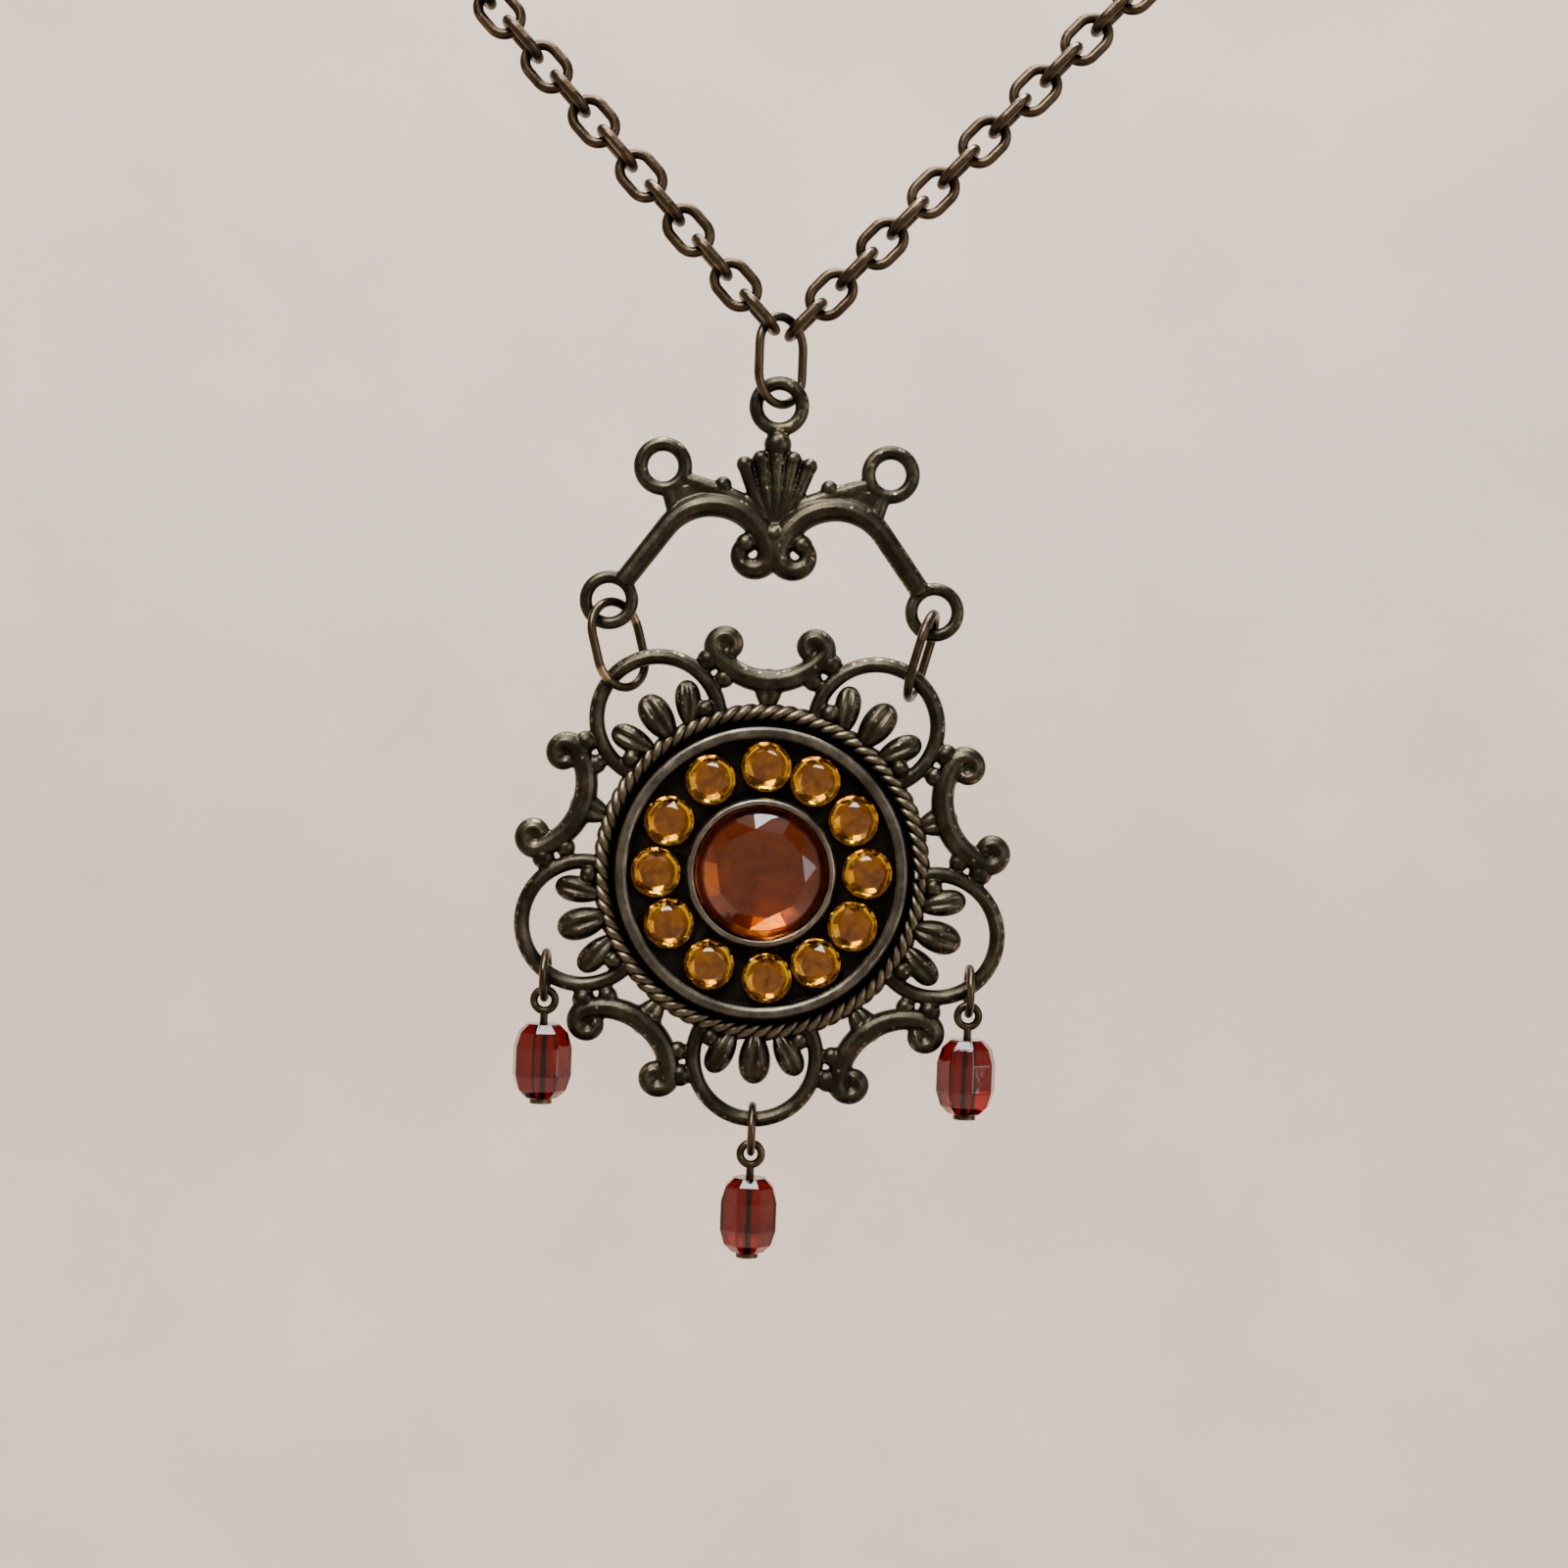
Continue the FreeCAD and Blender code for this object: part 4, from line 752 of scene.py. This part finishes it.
def make_connector(cast):
    """The connector casting: eyelet, collar, palmette and both sides."""
    shape = bmesh.new()
    add_tube(shape, ring_points((0, 0), EYELET_RADIUS), [EYELET_BAR, EYELET_BAR], closed=True)
    add_tube(shape, [Vector((0, -1.8, 0)), Vector((0, -4.4, 0))], [0.6, 0.75])
    add_ball(shape, Vector((0, -2.9, 0)), 1.05, 0.9)
    for rib in range(-2, 3):
        top = Vector((1.22 * rib, -3.85 - 0.16 * rib * rib, 0.12))
        foot = Vector((0.12 * rib, -9.3, 0))
        middle = foot.lerp(top, 0.55) + Vector((0.12 * rib, 0, 0.18))
        add_tube(shape, [foot, middle, top], [0.3, 0.5, 0.6], 12)
        add_ball(shape, top, 0.64)
    add_leaf(shape, Vector((0, -9.8, 0)), Vector((0, -4.2, 0)), 3.6, 0.8, -0.25, 0.0)
    add_ball(shape, Vector((0, -9.7, 0.2)), 0.8)
    shape_connector_side(shape, -1)
    shape_connector_side(shape, 1)
    piece = add_piece("connector_cast", cast_mesh(shape, "connector_cast"), cast,
                      connector_place(), "connector")
    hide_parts("connector")


# ---------------------------------------------------------------- drops

def bead_mesh():
    """A faceted barrel with softened edges and a hole along it, its middle on the origin."""
    shape = bmesh.new()
    step = 2 * math.pi / BEAD_SIDES
    rings = []
    for radius, height in BEAD_PROFILE:
        rings.append([shape.verts.new((radius * math.cos(step * (t + 0.5)),
                                       radius * math.sin(step * (t + 0.5)), height))
                      for t in range(BEAD_SIDES)])
    for index, ring in enumerate(rings):
        beyond = rings[(index + 1) % len(rings)]
        for t in range(BEAD_SIDES):
            following = (t + 1) % BEAD_SIDES
            shape.faces.new((ring[t], ring[following], beyond[following], beyond[t]))
    bmesh.ops.bevel(shape, geom=list(shape.edges), offset=0.07, segments=2, profile=0.6,
                    affect="EDGES")
    return finished_mesh(shape, "garnet_bead", smooth=False)


def make_beads(garnet):
    """Three garnet-red glass beads."""
    mesh = bead_mesh()
    for turn, word in ((14, "left"), (0, "centre"), (31, "right")):
        node = f"bead_{word}"
        place = Matrix.Translation(centre_of(node)) @ Matrix.Rotation(math.radians(turn), 4, "Z")
        bead = add_piece(f"garnet_{word}", mesh, garnet, place, node)
        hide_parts(node)


# ---------------------------------------------------------------- carried-over nodes

def dress_nodes(materials):
    """Gives each CAD node of bronze or steel the material of its slot."""
    slots = {part["node"]: part["material_slot"] for part in frame["record"]["subparts"]}
    for name, node in frame["nodes"].items():
        material = materials.get(slots[name])
        if material is None:
            continue
        node.data.materials.clear()
        node.data.materials.append(material)


# ---------------------------------------------------------------- stage, lights and camera

def make_stage():
    """A round pale floor that sweeps up into a wall all the way round the necklace."""
    low, high = cad_box
    middle = (low + high) / 2
    floor = low.z - FLOOR_DROP
    profile = [(FLAT_RADIUS, floor)]
    for step in range(BEND_STEPS + 1):
        turn = math.radians(-90 + 90 * step / BEND_STEPS)
        profile.append((WALL_RADIUS - WALL_BEND + WALL_BEND * math.cos(turn),
                        floor + WALL_BEND + WALL_BEND * math.sin(turn)))
    profile.append((WALL_RADIUS, high.z + WALL_RISE))
    shape = bmesh.new()
    turns = [2 * math.pi * t / STAGE_SIDES for t in range(STAGE_SIDES)]
    rings = []
    for radius, height in profile:
        rings.append([shape.verts.new((middle.x + radius * math.cos(turn),
                                       middle.y + radius * math.sin(turn), height))
                      for turn in turns])
    shape.faces.new(rings[0])
    for lower, upper in zip(rings, rings[1:]):
        for t in range(STAGE_SIDES):
            following = (t + 1) % STAGE_SIDES
            shape.faces.new((lower[t], lower[following], upper[following], upper[t]))
    mesh = bpy.data.meshes.new("backdrop")
    shape.to_mesh(mesh)
    shape.free()
    for polygon in mesh.polygons:
        polygon.use_smooth = True
    mesh.materials.append(pale_backdrop())
    backdrop = bpy.data.objects.new("backdrop", mesh)
    bpy.context.scene.collection.objects.link(backdrop)


def add_light(name, position, target, size, power, colour=(1, 1, 1)):
    """A square soft light that faces a point."""
    light = bpy.data.lights.new(name, "AREA")
    light.size = size
    light.energy = power
    light.color = colour
    lamp = bpy.data.objects.new(name, light)
    bpy.context.scene.collection.objects.link(lamp)
    lamp.location = position
    lamp.rotation_mode = "QUATERNION"
    lamp.rotation_quaternion = (target - position).to_track_quat("-Z", "Y")


def make_lights():
    """Soft light from above the viewer, a weak fill, and a light on the wall on each side."""
    target = medallion_place().translation
    for name, offset, size, power, colour in PENDANT_LIGHTS:
        add_light(name, target + Vector(offset), target, size, power, colour)
    for name, side, power in WALL_LIGHTS:
        add_light(name, target + Vector((0, 0.25 * side, 0.75)),
                  target + Vector((0, 1.2 * side, -0.1)), 0.6, power, (1.0, 0.97, 0.93))
    world = bpy.data.worlds.new("surround")
    world.use_nodes = True
    surround = world.node_tree.nodes["Background"]
    surround.inputs["Color"].default_value = (0.95, 0.93, 0.9, 1)
    surround.inputs["Strength"].default_value = 0.08
    bpy.context.scene.world = world


def make_camera():
    """Looks straight at the pendant, a little turned about the line of sight."""
    roll = math.radians(CAMERA_ROLL)
    right = Vector((math.cos(roll), 0, math.sin(roll)))
    up = Vector((-math.sin(roll), 0, math.cos(roll)))
    back = Vector((0, -1, 0))
    lens = bpy.data.cameras.new("camera")
    lens.lens = CAMERA_LENS
    lens.clip_start = 0.005
    camera = bpy.data.objects.new("camera", lens)
    bpy.context.scene.collection.objects.link(camera)
    distance = SHOWN_WIDTH * CAMERA_LENS / lens.sensor_width
    aim = medallion_place().translation + right * AIM_RIGHT + up * AIM_UP
    turn = Matrix((right, up, back)).transposed().to_4x4()
    camera.matrix_world = Matrix.Translation(aim + back * distance) @ turn
    bpy.context.scene.camera = camera


# ---------------------------------------------------------------- everything

# each bronze's recess colour is its dark patina together with painted shade where parts crowd
# together
cast_bronze = antique_bronze(
    "cast_bronze",
    recess_patina_and_shade=(0.004, 0.0035, 0.003),
    body=(0.025, 0.022, 0.0155),
    worn=(0.22, 0.185, 0.115),
    wear=(0.51, 0.62),
    gloss=(0.26, 0.48),
)
wire_bronze = antique_bronze(
    "wire_bronze",
    recess_patina_and_shade=(0.008, 0.006, 0.004),
    body=(0.050, 0.038, 0.024),
    worn=(0.26, 0.20, 0.11),
    wear=(0.55, 0.66),
    gloss=(0.22, 0.42),
)
chain_bronze = antique_bronze(
    "chain_bronze",
    recess_patina_and_shade=(0.008, 0.006, 0.004),
    body=(0.050, 0.036, 0.022),
    worn=(0.24, 0.18, 0.10),
    wear=(0.55, 0.66),
    gloss=(0.25, 0.45),
)
turned_bronze = antique_bronze(
    "turned_bronze",
    recess_patina_and_shade=(0.008, 0.007, 0.006),
    body=(0.10, 0.092, 0.078),
    worn=(0.28, 0.25, 0.19),
    wear=(0.50, 0.60),
    gloss=(0.25, 0.42),
)
worn_rim = antique_bronze(
    "worn_rim",
    recess_patina_and_shade=(0.004, 0.0035, 0.003),
    body=(0.060, 0.056, 0.046),
    worn=(0.22, 0.20, 0.155),
    wear=(0.50, 0.60),
    gloss=(0.3, 0.5),
)
# a darker copy of the bronze for the floor of the cup: painted shade between the stones
cup_floor = antique_bronze(
    "cup_floor",
    recess_patina_and_shade=(0.002, 0.002, 0.0015),
    body=(0.012, 0.011, 0.009),
    worn=(0.10, 0.09, 0.07),
    wear=(0.60, 0.75),
    gloss=(0.4, 0.6),
)
amber = tinted_glass("amber_glass", (0.64, 0.43, 0.004), (0.55, 0.33, 0.003))
amber_foil = stone_foil("amber_foil", (0.78, 0.68, 0.04), (0.40, 0.28, 0.015), (0.12, 0.32))
deep_amber = tinted_glass("deep_amber_glass", (0.50, 0.23, 0.003), (0.40, 0.16, 0.002))
deep_foil = stone_foil("deep_foil", (0.62, 0.42, 0.04), (0.50, 0.30, 0.02), (0.25, 0.4))
garnet = tinted_glass("garnet_glass", (0.15, 0.003, 0.001), (0.07, 0.001, 0.001))

make_medallion(cast_bronze, turned_bronze, worn_rim, cup_floor)
make_stones(amber, amber_foil, deep_amber, deep_foil)
make_connector(cast_bronze)
make_beads(garnet)
dress_nodes({
    "chain_bronze": chain_bronze,
    "wire_bronze": wire_bronze,
    "cast_bronze": cast_bronze,
    "cup_bronze": turned_bronze,
    "spring_steel": spring_steel(),
})
make_stage()
make_lights()
make_camera()
